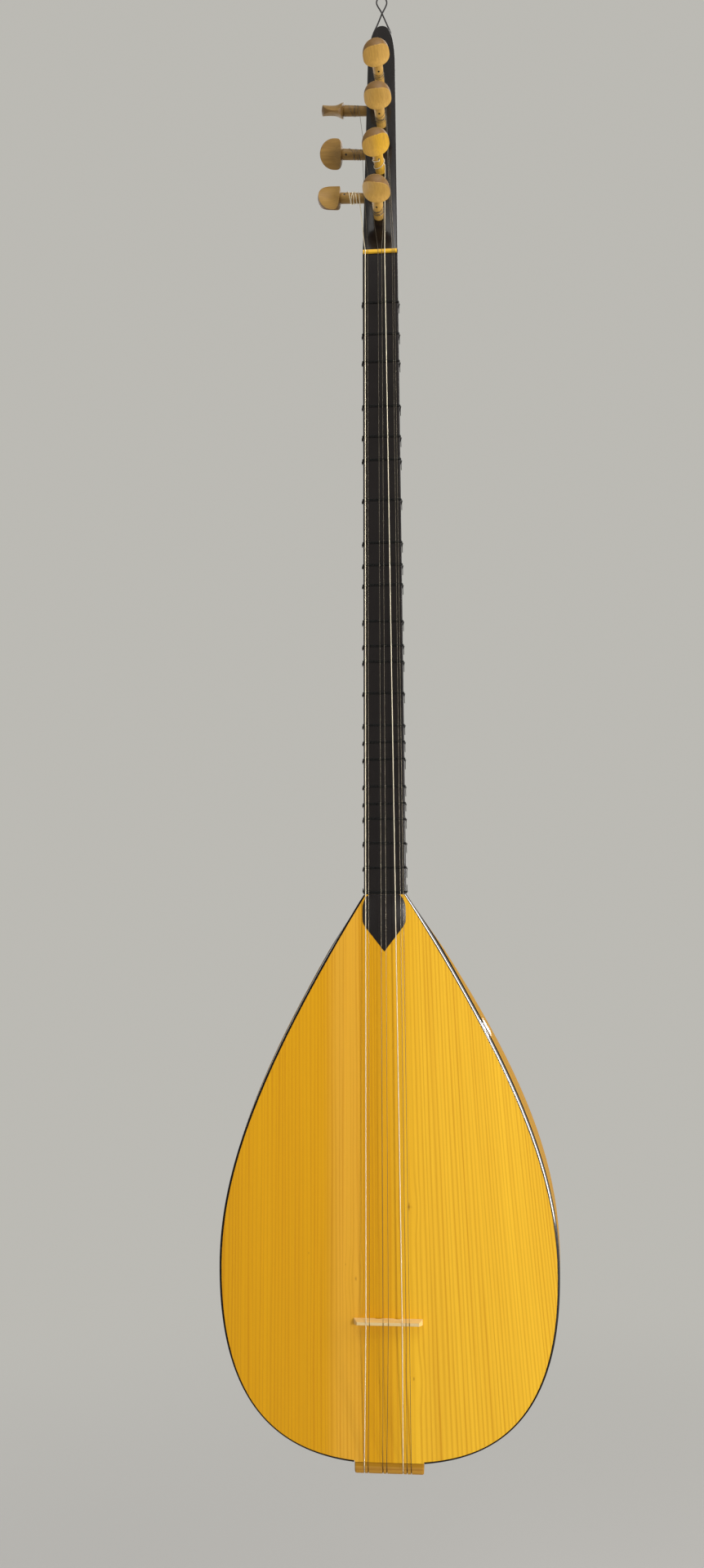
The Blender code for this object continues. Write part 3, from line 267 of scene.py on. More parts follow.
class Finish:
    """A material under way: it adds nodes and joins them to the shader."""

    def __init__(self, name, roughness=0.4, metallic=0.0, coat=0.0, coat_roughness=0.05, specular=0.5):
        self.material = bpy.data.materials.new(name)
        self.material.use_nodes = True
        self.tree = self.material.node_tree
        self.shader = self.tree.nodes["Principled BSDF"]
        self.shader.inputs["Roughness"].default_value = roughness
        self.shader.inputs["Metallic"].default_value = metallic
        self.shader.inputs["Coat Weight"].default_value = coat
        self.shader.inputs["Coat Roughness"].default_value = coat_roughness
        self.shader.inputs["Specular IOR Level"].default_value = specular

    def fill(self, target, value):
        if isinstance(value, Socket):
            self.tree.links.new(value.link, target)
        elif hasattr(target.default_value, "__len__"):
            wide = len(target.default_value)
            spread = [value] * wide if isinstance(value, (int, float)) else list(value)
            target.default_value = (spread + [1.0])[:wide]
        else:
            target.default_value = value

    def node(self, kind, settings, *values, output=0, **named):
        """A node with its settings made first, then its inputs by place or by name."""
        made = self.tree.nodes.new(kind)
        for key, value in settings.items():
            setattr(made, key, value)
        for i, value in enumerate(values):
            if value is not None:
                self.fill(made.inputs[i], value)
        for key, value in named.items():
            self.fill(made.inputs[key.replace("_", " ")], value)
        return Socket(self, made.outputs[output])

    def place(self):
        """Object coordinates in metres as three numbers."""
        spot = self.node("ShaderNodeTexCoord", {}, output="Object")
        return spot, *(self.node("ShaderNodeSeparateXYZ", {}, spot, output=i) for i in range(3))

    def flat_place(self):
        """The piece's own map: round it and along it, in metres."""
        spot = self.node("ShaderNodeUVMap", {"uv_map": "UVMap"}, output="UV")
        return self.node("ShaderNodeSeparateXYZ", {}, spot, output=0), self.node(
            "ShaderNodeSeparateXYZ", {}, spot, output=1
        )

    def point(self, x, y, z):
        return self.node("ShaderNodeCombineXYZ", {}, x, y, z)

    def noise(self, spot, scale, detail=3.0, roughness=0.5, distortion=0.0):
        return self.node(
            "ShaderNodeTexNoise", {}, Vector=spot, Scale=scale, Detail=detail, Roughness=roughness,
            Distortion=distortion, output="Fac",
        )

    def mix(self, share, one, two):
        return self.node("ShaderNodeMix", {"data_type": "RGBA"}, share, None, None, None, None, None, one, two,
                         output=2)

    def bump(self, height, strength, distance):
        shape = self.node("ShaderNodeBump", {}, Strength=strength, Distance=distance, Height=height)
        self.fill(self.shader.inputs["Normal"], shape)

    def paint(self, **inputs):
        for key, value in inputs.items():
            self.fill(self.shader.inputs[key.replace("_", " ")], value)
        return self.material


def spruce_finish():
    """Varnished spruce: soft upright growth lines, closer on the left, a paler strip and a few small knots, with the
    right half painted lighter as painted light.
    """
    shade = colours()
    made = Finish("spruce_varnish", roughness=0.32, coat=0.04, coat_roughness=0.15, specular=0.22)
    spot, x, _, z = made.place()
    below = (NUT_Z - sizes().neck_length) - z
    right = x.span(-0.003, 0.003)
    wander = made.noise(made.point(x * 9.0, 0.0, z * 1.1), 1.0, 3.0)
    marks = (
        (0.0170, 0.7937, 0.0008, 0.0050, 0.75), (0.0172, 0.7940, 0.0034, 0.0016, 0.22),
        (-0.0250, 0.8486, 0.0012, 0.0024, 0.45), (0.0195, 0.9219, 0.0010, 0.0022, 0.55),
        (-0.0620, 0.8300, 0.0007, 0.0016, 0.40), (-0.0330, 0.8380, 0.0006, 0.0015, 0.35),
    )
    push, dark = 0.0, 0.0
    for across, along, half_wide, half_tall, weight in marks:
        dx = (x - across) / half_wide
        dz = (z - (NUT_Z - along)) / half_tall
        dark = dark + (dx * dx + dz * dz).power(0.5).span(0.0, 1.0, weight, 0.0)
    for across, along, *_ in (marks[0], marks[2], marks[3]):
        dx, dz = x - across, (z - (NUT_Z - along)) * 0.4
        push = push + (dx * dx + dz * dz).power(0.5).span(0.0, 0.012, 1.0, 0.0) * dx * 0.45
    spread = below * right * 0.9 + 1.0
    grown = (x - push) / spread + wander * 0.0020
    drift = made.noise(made.point(grown * 120.0, 0.0, z * 1.6), 1.0, 3.0, 0.6)
    coarse = growth_lines(made, grown * 285.0 + grown * grown * 1150.0 + drift * 1.6, z, 2.2)
    fine = growth_lines(made, grown * 350.0 + drift * 2.6, z, 2.4)
    lines = coarse * right * 0.46 + fine * (1.0 - right) * 0.50
    streak = made.noise(made.point(grown * 300.0, 0.0, z * 3.5), 1.0, 4.0, 0.62)
    fibre = made.noise(made.point(grown * 1600.0, 0.0, z * 26.0), 1.0, 2.0, 0.6)
    band = made.noise(made.point(grown * 42.0, 3.0, z * 0.7), 1.0, 2.0)
    pale = x.span(-0.052, -0.036) * (1.0 - x.span(-0.024, -0.016)) * (0.55 + band * 0.7)
    amount = lines + (streak - 0.5) * 0.55 + (fibre - 0.5) * 0.22 + (band - 0.5) * 0.70 + 0.10
    # Painted light: across the middle the tone goes from the plain spruce to a lighter copy, standing in for light
    # from the right
    lit_and_shaded_halves = made.mix(x.span(-0.012, 0.034), shade.spruce, shade.spruce_lit_right)
    ground = made.mix((pale * 0.8).clip(), lit_and_shaded_halves, shade.spruce_pale)
    grained = made.mix((amount - pale * 0.10).clip(), ground, shade.spruce_dark)
    knotted = made.mix(dark.clip(), grained, shade.spruce_knot)
    made.bump(lines + streak * 0.5, 0.08, 0.0002)
    return made.paint(Base_Color=knotted, Roughness=0.30 + streak * 0.12)


def growth_lines(made, place, z, sharpness):
    """Soft dark lines one unit apart, each with its own strength, which changes slowly along it."""
    strength = made.noise(made.point(place.whole() * 3.7, 5.0, z * 2.6), 1.0, 2.0)
    wave = ((place.part() - 0.25) * (2.0 * math.pi)).sine()
    return (wave * 0.5 + 0.5).power(sharpness) * (strength * 2.2 - 0.35).clip()


def lacquer_finish(name, roughness=0.13, specular=0.30, polished=False):
    """Black lacquer with faint haze, dust and rubbing in its gloss, or polished on its upper right."""
    shade = colours()
    made = Finish(name, roughness=roughness, specular=specular, coat_roughness=0.10)
    spot, x, y, z = made.place()
    haze = made.noise(spot, 38.0, 4.0, 0.6)
    dust = made.noise(spot, 900.0, 2.0, 0.5)
    rub = made.noise(made.point(x * 160.0, y * 160.0, z * 5.0), 1.0, 3.0, 0.6)
    tone = made.mix((haze - 0.40).clip() * 0.6 + (dust > 0.70) * 0.25, shade.lacquer, (0.020, 0.016, 0.015))
    made.bump(haze, 0.05, 0.0004)
    if polished:
        made.shader.inputs["Coat IOR"].default_value = 1.9
        made.paint(Coat_Weight=x.span(-0.01, 0.01) * z.span(NUT_Z - 0.93, NUT_Z - 0.80))
    return made.paint(Base_Color=tone, Roughness=roughness + haze * 0.08 + (rub - 0.5).clip() * 0.4)


def bowl_finish():
    """Golden brown staves: each has its own tone, with dark seams between and grain along it."""
    shade, size = colours(), sizes()
    made = Finish("bowl_varnish", roughness=0.35, coat=0.22, coat_roughness=0.06, specular=0.0)
    around, along = made.flat_place()
    below_face = made.place()[2] - FACE_Y
    place = around * float(size.bowl_staves)
    stave = place.whole()
    inside = place.part()
    edge = (inside - 0.5).size()
    seam = edge.span(0.478, 0.490)
    tone = made.noise(made.point(stave * 7.31, 3.7, 0.5), 1.0, 0.0)
    wave = made.noise(made.point(around * 26.0, along * 11.0, stave), 1.0, 2.0)
    grain = made.noise(made.point(around * 420.0 + wave * 2.5, along * 9.0, stave), 1.0, 5.0, 0.62)
    pore = made.noise(made.point(around * 1500.0, along * 70.0, stave * 3.0), 1.0, 2.0, 0.5)
    flame = made.noise(made.point(around * 30.0, along * 75.0, stave * 2.0), 1.0, 2.0, 0.5, 0.6)
    rings = ((around * 38.0 + wave * 1.6 + stave * 0.37) * (2.0 * math.pi)).sine() * 0.5 + 0.5
    amount = (tone - 0.5) * 1.5 + (grain - 0.5) * 0.9 + (pore - 0.5) * 0.35 + (flame - 0.5) * 0.40
    base = made.mix((amount + rings.power(3.0) * 0.07 + 0.22).clip(), shade.bowl, shade.bowl_dark)
    seamed = made.mix(seam * 0.8, base, (0.045, 0.018, 0.005))
    edging = below_face.span(size.bowl_edging - 0.0002, size.bowl_edging, 1.0, 0.0)
    edged = made.mix(edging, seamed, shade.lacquer)
    made.bump(grain * 0.3 - seam, 0.12, 0.0002)
    return made.paint(Base_Color=edged, Roughness=0.30 + grain * 0.10, Coat_Weight=(0.16 + grain * 0.10) * (1.0 - edging * 0.7))


def wood_finish(name, light, dark, roughness, axis=2, ring=0.0022, contrast=0.8, specular=0.4, bump=0.15, band=None):
    """Bare or varnished wood whose grain runs along one axis, with another tone past a place on some axis."""
    made = Finish(name, roughness=roughness, specular=specular)
    spot, *along = made.place()
    stretch = [1.0, 1.0, 1.0]
    stretch[axis] = 0.08
    drawn = made.point(*(place * factor for place, factor in zip(along, stretch)))
    wander = made.noise(drawn, 60.0, 3.0)
    others = [place for i, place in enumerate(along) if i != axis]
    rings = ((others[0] + others[1] * 0.6 + wander * 0.006) * (2.0 * math.pi / ring)).sine() * 0.5 + 0.5
    fibre = made.noise(drawn, 1500.0, 3.0, 0.6)
    blotch = made.noise(drawn, 130.0, 2.0)
    amount = rings.power(2.0) * 0.45 + (fibre - 0.5) * 0.8 + (blotch - 0.5) * 0.5 + 0.08
    base = made.mix((amount * contrast).clip(), light, dark)
    if band:
        beyond, before, past, tone = band
        base = made.mix(along[beyond].span(before, past) * (0.85 - fibre * 0.3), base, tone)
    made.bump(fibre, bump, 0.0002)
    return made.paint(Base_Color=base, Roughness=roughness + fibre * 0.12)


def peg_finish():
    """Bare turned wood: growth lines sweep over the carved faces, and the turned rim is darker. The side pegs get
    painted shade, and each string's hole is a painted dark spot.
    """
    shade = colours()
    made = Finish("peg_wood", roughness=0.42, specular=0.35)
    seat = made.node("ShaderNodeAttribute", {"attribute_name": "seat"}, output="Vector")
    x, y, out = (made.node("ShaderNodeSeparateXYZ", {}, seat, output=i) for i in range(3))
    own = made.node("ShaderNodeAttribute", {"attribute_name": "own"}, output="Fac")
    rim = made.node("ShaderNodeAttribute", {"attribute_name": "rim"}, output="Fac")
    aged = made.node("ShaderNodeAttribute", {"attribute_name": "aged"}, output="Fac")
    golden = made.node("ShaderNodeAttribute", {"attribute_name": "golden"}, output="Fac")
    past = out - made.node("ShaderNodeAttribute", {"attribute_name": "hole_at"}, output="Fac")
    # Painted shade: the string's hole is not cut, only painted as a dark spot for the shade inside it
    hole = (x * x + past * past).power(0.5).span(0.0008, 0.0010, 1.0, 0.0)
    warp = made.noise(made.point(x * 70.0 + own * 9.0, y * 70.0, out * 14.0), 1.0, 3.0)
    rings = ((x + y * 0.6 + warp * 0.0030 + own * 0.01) * (2.0 * math.pi / 0.0013)).sine() * 0.5 + 0.5
    streak = made.noise(made.point(x * 900.0, y * 900.0 + own * 13.0, out * 45.0), 1.0, 3.0, 0.6)
    pores = made.noise(made.point(x * 1700.0, y * 1700.0 + own * 31.0, out * 190.0), 1.0, 2.0, 0.6)
    fleck = made.noise(made.point(x * 420.0, y * 420.0 + own * 17.0, out * 60.0), 1.0, 3.0)
    amount = rings.power(2.0) * streak * 0.36 + (pores - 0.45) * 0.75 + (streak - 0.5) * 0.8 + (fleck - 0.5) * 0.4 + 0.08
    heart = golden * (x.span(-0.006, 0.003) * 0.75 + 0.15) * (0.6 + fleck * 0.6)
    plain = made.mix(heart.clip(), shade.peg, shade.peg_gold)
    wood = made.mix(amount.clip(), plain, shade.peg_dark)
    old = tuple(c * 0.45 for c in shade.peg_rim)
    turned = made.mix((pores * 0.6 + fleck * 0.5 + rings * 0.35 - 0.32).clip(), shade.peg_rim, old)
    worn = rim * (1.0 - (fleck - 0.62).clip() * 2.0)
    bare = made.mix(worn.clip(), wood, turned)
    # Painted shade: the side pegs are painted darker for the shade they sit in
    side_shaded = made.mix((aged * (0.7 + fleck * 0.6)).clip(), bare, shade.peg_side_shade)
    # Painted shade: the dark spot that stands for the hole's shaded inside
    painted_hole_shade = made.mix(hole, side_shaded, (0.010, 0.006, 0.004))
    made.bump(pores + rings * 0.3 - hole * 6.0, 0.22, 0.00015)
    return made.paint(Base_Color=painted_hole_shade, Roughness=0.38 + pores * 0.2)


def steel_finish(name, tint, wound):
    """Plain steel, or a core wound with fine wire, dulled in places."""
    made = Finish(name, roughness=0.34 if wound else 0.24, metallic=1.0)
    around, along = made.flat_place()
    tarnish = made.noise(made.point(around * 20.0, along * 14.0, 0.0), 1.0, 3.0)
    base = made.mix((tarnish - 0.45).clip() * 0.8, tint, tuple(c * 0.6 for c in tint))
    if wound:
        turns = (along * (2.0 * math.pi / 0.00032)).sine()
        made.bump(turns, 0.5, 0.00006)
    return made.paint(Base_Color=base, Roughness=(0.34 if wound else 0.20) + tarnish * 0.16)


def nylon_finish():
    shade = colours()
    made = Finish("fret_nylon", roughness=0.26, specular=0.16)
    spot = made.place()[0]
    haze = made.noise(spot, 700.0, 2.0)
    base = made.mix(haze * 0.5, shade.nylon, (0.010, 0.010, 0.010))
    return made.paint(Base_Color=base, Roughness=0.20 + haze * 0.18)


def cord_finish():
    """Twisted black cord: three strands wind along it."""
    shade = colours()
    made = Finish("hanging_cord", roughness=0.75, specular=0.3)
    around, along = made.flat_place()
    twist = ((around * 3.0 + along / 0.0042) * (2.0 * math.pi)).sine() * 0.5 + 0.5
    fuzz = made.noise(made.point(around * 60.0, along * 5200.0, 0.0), 1.0, 2.0)
    base = made.mix((twist * 0.6 + fuzz * 0.5).clip(), shade.cord, (0.055, 0.050, 0.052))
    made.bump(twist, 0.6, 0.0002)
    return made.paint(Base_Color=base, Roughness=0.68 + fuzz * 0.2)


def bezier(points, t):
    a, b, c, d = (Vector(point) for point in points)
    s = 1.0 - t
    return s**3 * a + 3 * s * s * t * b + 3 * s * t * t * c + t**3 * d


def height_at(points, along):
    low, high = 0.0, 1.0
    for _ in range(40):
        middle = (low + high) / 2
        if bezier(points, middle)[0] < along:
            low = middle
        else:
            high = middle
    return bezier(points, (low + high) / 2)[1]


def outline_curves(grow):
    """The soundboard's outline as two curves of (along, across), from the neck to the tail."""
    size = sizes()
    joint = Vector((0.0, size.board_half_joint + grow))
    widest = Vector((size.board_widest, size.board_half + grow))
    tail = Vector((size.board_length + grow, 0.0))
    lean = Vector((math.cos(math.radians(31.7)), math.sin(math.radians(31.7))))
    upper = (joint, joint + lean * 0.162, widest - Vector((0.072, 0)), widest)
    lower = (widest, widest + Vector((0.1335, 0)), tail + Vector((0, 0.0565)), tail)
    return upper, lower


def keel_curves(grow):
    """The bowl's keel as two curves of (along, deep)."""
    size = sizes()
    joint = Vector((0.0, size.neck_depth_joint + grow))
    deepest = Vector((0.285, size.bowl_depth + grow))
    tail = Vector((size.board_length + size.binding + SEAT_GAP + grow, 0.0))
    lean = Vector((math.cos(math.radians(34.0)), math.sin(math.radians(34.0))))
    upper = (joint, joint + lean * 0.150, deepest - Vector((0.095, 0)), deepest)
    lower = (deepest, deepest + Vector((0.081, 0)), tail + Vector((0, 0.096)), tail)
    return upper, lower


def value_at(curves, along):
    upper, lower = curves
    return height_at(upper if along < upper[3][0] else lower, along)


BOWL_SHAPE = 2.1
NECK_SHAPE = 2.5
BOWL_SWELL = 0.0752
BOWL_SWELL_FADE = 0.107
BOWL_SWELL_START = 0.040
BOWL_SWELL_EASE = 0.25
BOWL_CENTRE = 0.47
BOWL_CENTRE_JOINT = 0.25


def bowl_side(along, grow):
    """Half width at the face, how far the side swells past that, and where it is widest and deepest."""
    size = sizes()
    half = value_at(outline_curves(size.binding + SEAT_GAP + grow), along)
    depth = value_at(keel_curves(grow), along)
    joint_share = min(max(along / (2 * BOWL_SWELL_START), 0.0), 1.0)
    centre = depth * (BOWL_CENTRE_JOINT + (BOWL_CENTRE - BOWL_CENTRE_JOINT) * joint_share)
    swell = half * (BOWL_SWELL - BOWL_SWELL_FADE * along) * min(max(along / BOWL_SWELL_START, 0.0), 1.0)
    return half, swell, centre, depth


def flank(share):
    """How much of the swell is reached at a share of the way down to where the bowl is widest."""
    return share * (1.0 + BOWL_SWELL_EASE * (1.0 - share**3))


def bowl_ring(along, grow, rim, sides, back):
    """One cross section of the bowl, from its left rim round the keel to its right rim."""
    half, swell, centre, depth = bowl_side(along, grow)
    side = []
    for i in range(sides):
        y = rim + (centre - rim) * i / sides
        side.append((half + swell * flank(y / centre), y))
    round_part = []
    for i in range(back + 1):
        angle = math.pi * i / back
        across, down = math.cos(angle), max(math.sin(angle), 0.0)
        x = (half + swell) * math.copysign(abs(across) ** (2.0 / BOWL_SHAPE), across)
        round_part.append((x, centre + (depth - centre) * down ** (2.0 / BOWL_SHAPE)))
    section = side + round_part + [(-x, y) for x, y in reversed(side)]
    return [NUT_LINE + Vector((-x, y, -sizes().neck_length - along)) for x, y in section]


def neck_section(half, depth, front=0.0, steps=48):
    """Points round the neck or head: a flat face with eased edges and a rounded back."""
    edge = sizes().neck_edge
    points = [(-half + edge + (half - edge) * 2 * i / 6, front) for i in range(7)]
    for i in (1, 2, 3):
        angle = math.radians(90.0 - 22.5 * i)
        points.append((half - edge + edge * math.cos(angle), front + edge - edge * math.sin(angle)))
    power = 2.0 / NECK_SHAPE
    for i in range(steps + 1):
        angle = math.pi * i / steps
        across = math.cos(angle)
        x = half * math.copysign(abs(across) ** power, across)
        y = front + edge + (depth - edge) * max(math.sin(angle), 0.0) ** power
        points.append((x, y))
    for i in (3, 2, 1):
        angle = math.radians(90.0 - 22.5 * i)
        points.append((-half + edge - edge * math.cos(angle), front + edge - edge * math.sin(angle)))
    return points


def neck_size(z):
    size = sizes()
    share = min(max(-z / size.neck_length, 0.0), 1.0)
    half = size.neck_half_nut + (size.neck_half_joint - size.neck_half_nut) * share
    depth = size.neck_depth_nut + (size.neck_depth_joint - size.neck_depth_nut) * share**2.5
    return half, depth


def head_size(along):
    size = sizes()
    start = size.head_length - size.head_tip
    share = min(along / start, 1.0)
    half = size.neck_half_nut + (size.head_half_tip - size.neck_half_nut) * share
    depth = size.neck_depth_nut + (size.head_depth_tip - size.neck_depth_nut) * share
    if along > start:
        past = min((along - start) / size.head_tip, 1.0)
        half *= (1.0 - past**2.2) ** 0.35
        depth *= 1.0 - 0.42 * past**2
    return half, depth


def head_point(x, out, along):
    """A place on the canted head: across, out of its face towards the viewer, and up it."""
    return NUT_LINE + Vector((
        x,
        math.sin(HEAD_CANT) * along - math.cos(HEAD_CANT) * out,
        math.cos(HEAD_CANT) * along + math.sin(HEAD_CANT) * out,
    ))


def new_piece(name, bm, finish, body=ROOT, nodes=(), sharp=35.0):
    """Turns a bmesh into a finished piece that rides on a body and stands for CAD nodes."""
    mesh = bpy.data.meshes.new(name)
    bm.to_mesh(mesh)
    bm.free()
    mesh.materials.append(finish)
    mesh.shade_smooth()
    mesh.set_sharp_from_angle(angle=math.radians(sharp))
    piece = bpy.data.objects.new(name, mesh)
    bpy.context.scene.collection.objects.link(piece)
    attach(piece, body)
    if nodes:
        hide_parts(*nodes)
    return piece


def skin(bm, rings, closed=False, ends=True, tip=None, spread=None):
    """Faces over rings of as many points each, with a map of round and along in metres."""
    rows = [[bm.verts.new(point) for point in ring] for ring in rings]
    layer = bm.loops.layers.uv.get("UVMap") or bm.loops.layers.uv.new("UVMap")
    count = len(rows[0])
    place = [0.0]
    for low, high in zip(rings, rings[1:]):
        place.append(place[-1] + (Vector(high[0]) - Vector(low[0])).length)
    if closed:
        place.append(place[-1] + (Vector(rings[0][0]) - Vector(rings[-1][0])).length)
    rounds = spread or [i / count for i in range(count + 1)]
    spans = len(rows) if closed else len(rows) - 1
    for k in range(spans):
        low, high = rows[k], rows[(k + 1) % len(rows)]
        for i in range(count):
            j = (i + 1) % count
            face = bm.faces.new((low[i], low[j], high[j], high[i]))
            marks = ((i, k), (i + 1, k), (i + 1, k + 1), (i, k + 1))
            for loop, (a, b) in zip(face.loops, marks):
                loop[layer].uv = (rounds[a], place[b])
    if ends and not closed:
        bm.faces.new(list(reversed(rows[0])))
        if tip is None:
            bm.faces.new(rows[-1])
        else:
            point = bm.verts.new(tip)
            for i in range(count):
                face = bm.faces.new((rows[-1][i], rows[-1][(i + 1) % count], point))
                for loop, a in zip(face.loops, (i, i + 1, i)):
                    loop[layer].uv = (rounds[a], place[-1])
    return rows


def point_outwards(bm):
    bmesh.ops.recalc_face_normals(bm, faces=bm.faces)


def tube(bm, path, radius, sides=10, closed=False, taper=None):
    """A round tube along a path, without twist from one ring to the next."""
    points = [Vector(point) for point in path]
    count = len(points)
    rings = []
    side = None
    for i, point in enumerate(points):
        if closed:
            ahead = points[(i + 1) % count] - points[i - 1]
        else:
            ahead = points[min(i + 1, count - 1)] - points[max(i - 1, 0)]
        ahead.normalize()
        if side is None:
            side = ahead.orthogonal().normalized()
        side = (side - ahead * side.dot(ahead)).normalized()
        up = ahead.cross(side)
        wide = radius * (taper[i] if taper else 1.0)
        rings.append([
            point + (side * math.cos(2 * math.pi * k / sides) + up * math.sin(2 * math.pi * k / sides)) * wide
            for k in range(sides)
        ])
    return skin(bm, rings, closed=closed)


def smooth_route(points, step, cyclic=False):
    """Points about one step apart on a smooth curve through a list of points."""
    count = len(points)
    spans = count if cyclic else count - 1
    route = []
    for i in range(spans):
        if cyclic:
            a, b, c, d = (Vector(points[(i + k) % count]) for k in (-1, 0, 1, 2))
        else:
            a, b, c, d = (Vector(points[min(max(i + k, 0), count - 1)]) for k in (-1, 0, 1, 2))
        parts = max(1, round((c - b).length / step))
        for k in range(parts):
            t = k / parts
            route.append(
                0.5 * (2 * b + (c - a) * t + (2 * a - 5 * b + 4 * c - d) * t * t
                       + (3 * b - a - 3 * c + d) * t**3)
            )
    if not cyclic:
        route.append(Vector(points[-1]))
    return route


def tool_from(bm):
    """A closed form that is only there to be cut from a piece."""
    bmesh.ops.recalc_face_normals(bm, faces=bm.faces)
    mesh = bpy.data.meshes.new("tool")
    bm.to_mesh(mesh)
    bm.free()
    tool = bpy.data.objects.new("tool", mesh)
    bpy.context.scene.collection.objects.link(tool)
    return tool


def round_tool(middle, axis, radius, depth, sides=24):
    bm = bmesh.new()
    bmesh.ops.create_cone(bm, cap_ends=True, segments=sides, radius1=radius, radius2=radius, depth=depth)
    turn = Vector(axis).to_track_quat("Z", "Y").to_matrix().to_4x4()
    bmesh.ops.transform(bm, matrix=Matrix.Translation(middle) @ turn, verts=bm.verts)
    return tool_from(bm)


def block_tool(low, high):
    bm = bmesh.new()
    bmesh.ops.create_cube(bm, size=1.0)
    bmesh.ops.scale(bm, vec=Vector(high) - Vector(low), verts=bm.verts)
    bmesh.ops.translate(bm, vec=(Vector(low) + Vector(high)) / 2, verts=bm.verts)
    return tool_from(bm)


def form_tool(rings, tip=None):
    bm = bmesh.new()
    skin(bm, rings, tip=tip)
    return tool_from(bm)


def carve(piece, tools, sharp):
    """Takes each tool's form off a piece, applies the result and clears the tools away."""
    for tool in tools:
        cut = piece.modifiers.new("cut", "BOOLEAN")
        cut.object = tool
        cut.operation = "DIFFERENCE"
    bake_modifiers(piece, sharp)
    for tool in tools:
        bpy.data.objects.remove(tool)


class BAGLAMA_OT_neck(bpy.types.Operator):
    """Lacquered neck and head, with the yellow nut between them"""

    bl_idname = "baglama.neck"
    bl_label = "Neck, head and nut"

    def execute(self, context):
        size = sizes()
        nut_top = 0.0032
        lacquer = lacquer_finish("neck_lacquer")
        bm = bmesh.new()
        heights = [0.0] + [-size.neck_length * i / 40 for i in range(1, 41)]
        rings = []
        for z in heights:
            rings.append([NUT_LINE + Vector((x, y, z)) for x, y in neck_section(*neck_size(z))])
        skin(bm, rings)
        point_outwards(bm)
        new_piece("neck_shaft", bm, lacquer, ROOT, ("neck",), 40.0)
        self.make_nut_seat(lacquer, nut_top)
        self.make_head(lacquer, nut_top)
        self.make_nut()
        return {"FINISHED"}

    def make_nut_seat(self, lacquer, nut_top):
        """The short stretch of neck behind the nut, below its slot."""
        bm = bmesh.new()
        half, depth = neck_size(0.0)
        seat = 0.0026
        section = [(x, max(y, seat)) for x, y in neck_section(half, depth)]
        rings = [[NUT_LINE + Vector((x, y, z)) for x, y in section] for z in (0.0001, nut_top + 0.0002)]
        skin(bm, rings)
        bmesh.ops.remove_doubles(bm, verts=bm.verts, dist=0.00001)
        point_outwards(bm)
        new_piece("neck_nut_seat", bm, lacquer, ROOT, (), 40.0)

    def make_head(self, lacquer, nut_top):
        size = sizes()
        half, depth = neck_size(0.0)
        start = nut_top + 2 * SEAT_GAP
        front = start * math.tan(HEAD_CANT)
        rings = [[NUT_LINE + Vector((x, y, start)) for x, y in neck_section(half, depth, front)]]
        rings.append([head_point(x, -y, depth * 0.75) for x, y in neck_section(*head_size(depth * 0.75))])
        tip_start = size.head_length - size.head_tip
        places = [depth * 0.75 + (tip_start - depth * 0.75) * i / 20 for i in range(1, 21)]
        places += [tip_start + size.head_tip * math.sin(math.radians(90.0 * i / 22)) for i in range(1, 22)]
        for along in places:
            half, depth = head_size(along)
            rings.append([head_point(x, -y, along) for x, y in self.tip_section(half, depth)])
        bm = bmesh.new()
        skin(bm, rings)
        point_outwards(bm)
        piece = new_piece("head_shaft", bm, lacquer, ROOT, ("head",), 40.0)
        hole = size.head_length - 0.0047
        carve(piece, [round_tool(head_point(0.0, -head_size(hole)[1] / 2, hole), (1, 0, 0), 0.0013, 0.06, 32)], 40.0)

    def tip_section(self, half, depth):
        """Like the neck's section, with eased edges that stay inside a narrow tip."""
        edge = sizes().neck_edge
        if half > edge * 2.2:
            return neck_section(half, depth)
        share = half / (edge * 2.2)
        return [(x * share, y) for x, y in neck_section(edge * 2.2, depth)]

    def make_nut(self):
        """The string rest, rounded over its top, with a slot for each string."""
        size = sizes()
        half = size.neck_half_nut - 0.0005
        bm = bmesh.new()
        profile = [(0.0022, 0.0003), (0.0022, 0.0032)]
        for i in range(9):
            angle = math.pi * i / 8
            profile.append((-0.0013 - 0.0008 * math.sin(angle), 0.00175 + 0.00145 * math.cos(angle)))
        rings = [[NUT_LINE + Vector((x, y, z)) for y, z in profile] for x in (-half, -half * 0.5, 0.0, half * 0.5, half)]
        skin(bm, rings)
        point_outwards(bm)
        shade = colours()
        finish = wood_finish("nut_varnish", shade.nut, (0.58, 0.24, 0.012), 0.28, 0, 0.0016, 0.7)
        piece = new_piece("nut_rest", bm, finish, ROOT, ("nut",), 30.0)
        tools = []
        for _, wound, at_nut, *_ in STRINGS:
            radius = (size.wound_string if wound else size.plain_string) / 2 + 0.00008
            place = NUT_LINE + Vector((at_nut * half, -0.0029, 0.0017))
            reach = Vector((radius, 0.0010 + radius, 0.01))
            tools.append(block_tool(place - reach, place + reach))
        carve(piece, tools, 30.0)


def bake_modifiers(piece, sharp):
    """Applies a piece's modifiers and shades the result smooth again."""
    bpy.context.view_layer.update()
    held = piece.evaluated_get(bpy.context.evaluated_depsgraph_get())
    mesh = bpy.data.meshes.new_from_object(held)
    piece.modifiers.clear()
    old = piece.data
    piece.data = mesh
    mesh.name = old.name
    bpy.data.meshes.remove(old)
    mesh.shade_smooth()
    mesh.set_sharp_from_angle(angle=math.radians(sharp))


def outline_rows(grow, steps=64):
    """Places of the soundboard's outline on one side, as (along, across)."""
    upper, lower = outline_curves(grow)
    rows = [bezier(upper, i / steps) for i in range(steps)]
    return rows + [bezier(lower, i / steps) for i in range(steps + 1)]


def board_half_outline(grow):
    """One side of the soundboard as (across, along), cut straight over the tail block's width."""
    size = sizes()
    half = size.tail_half + grow
    rows = [(row[1], row[0]) for row in outline_rows(grow) if row[1] > half or row[0] < size.board_widest]
    end = size.board_length + grow
    return rows + [(half, rows[-1][1]), (half, end), (0.0, end)]


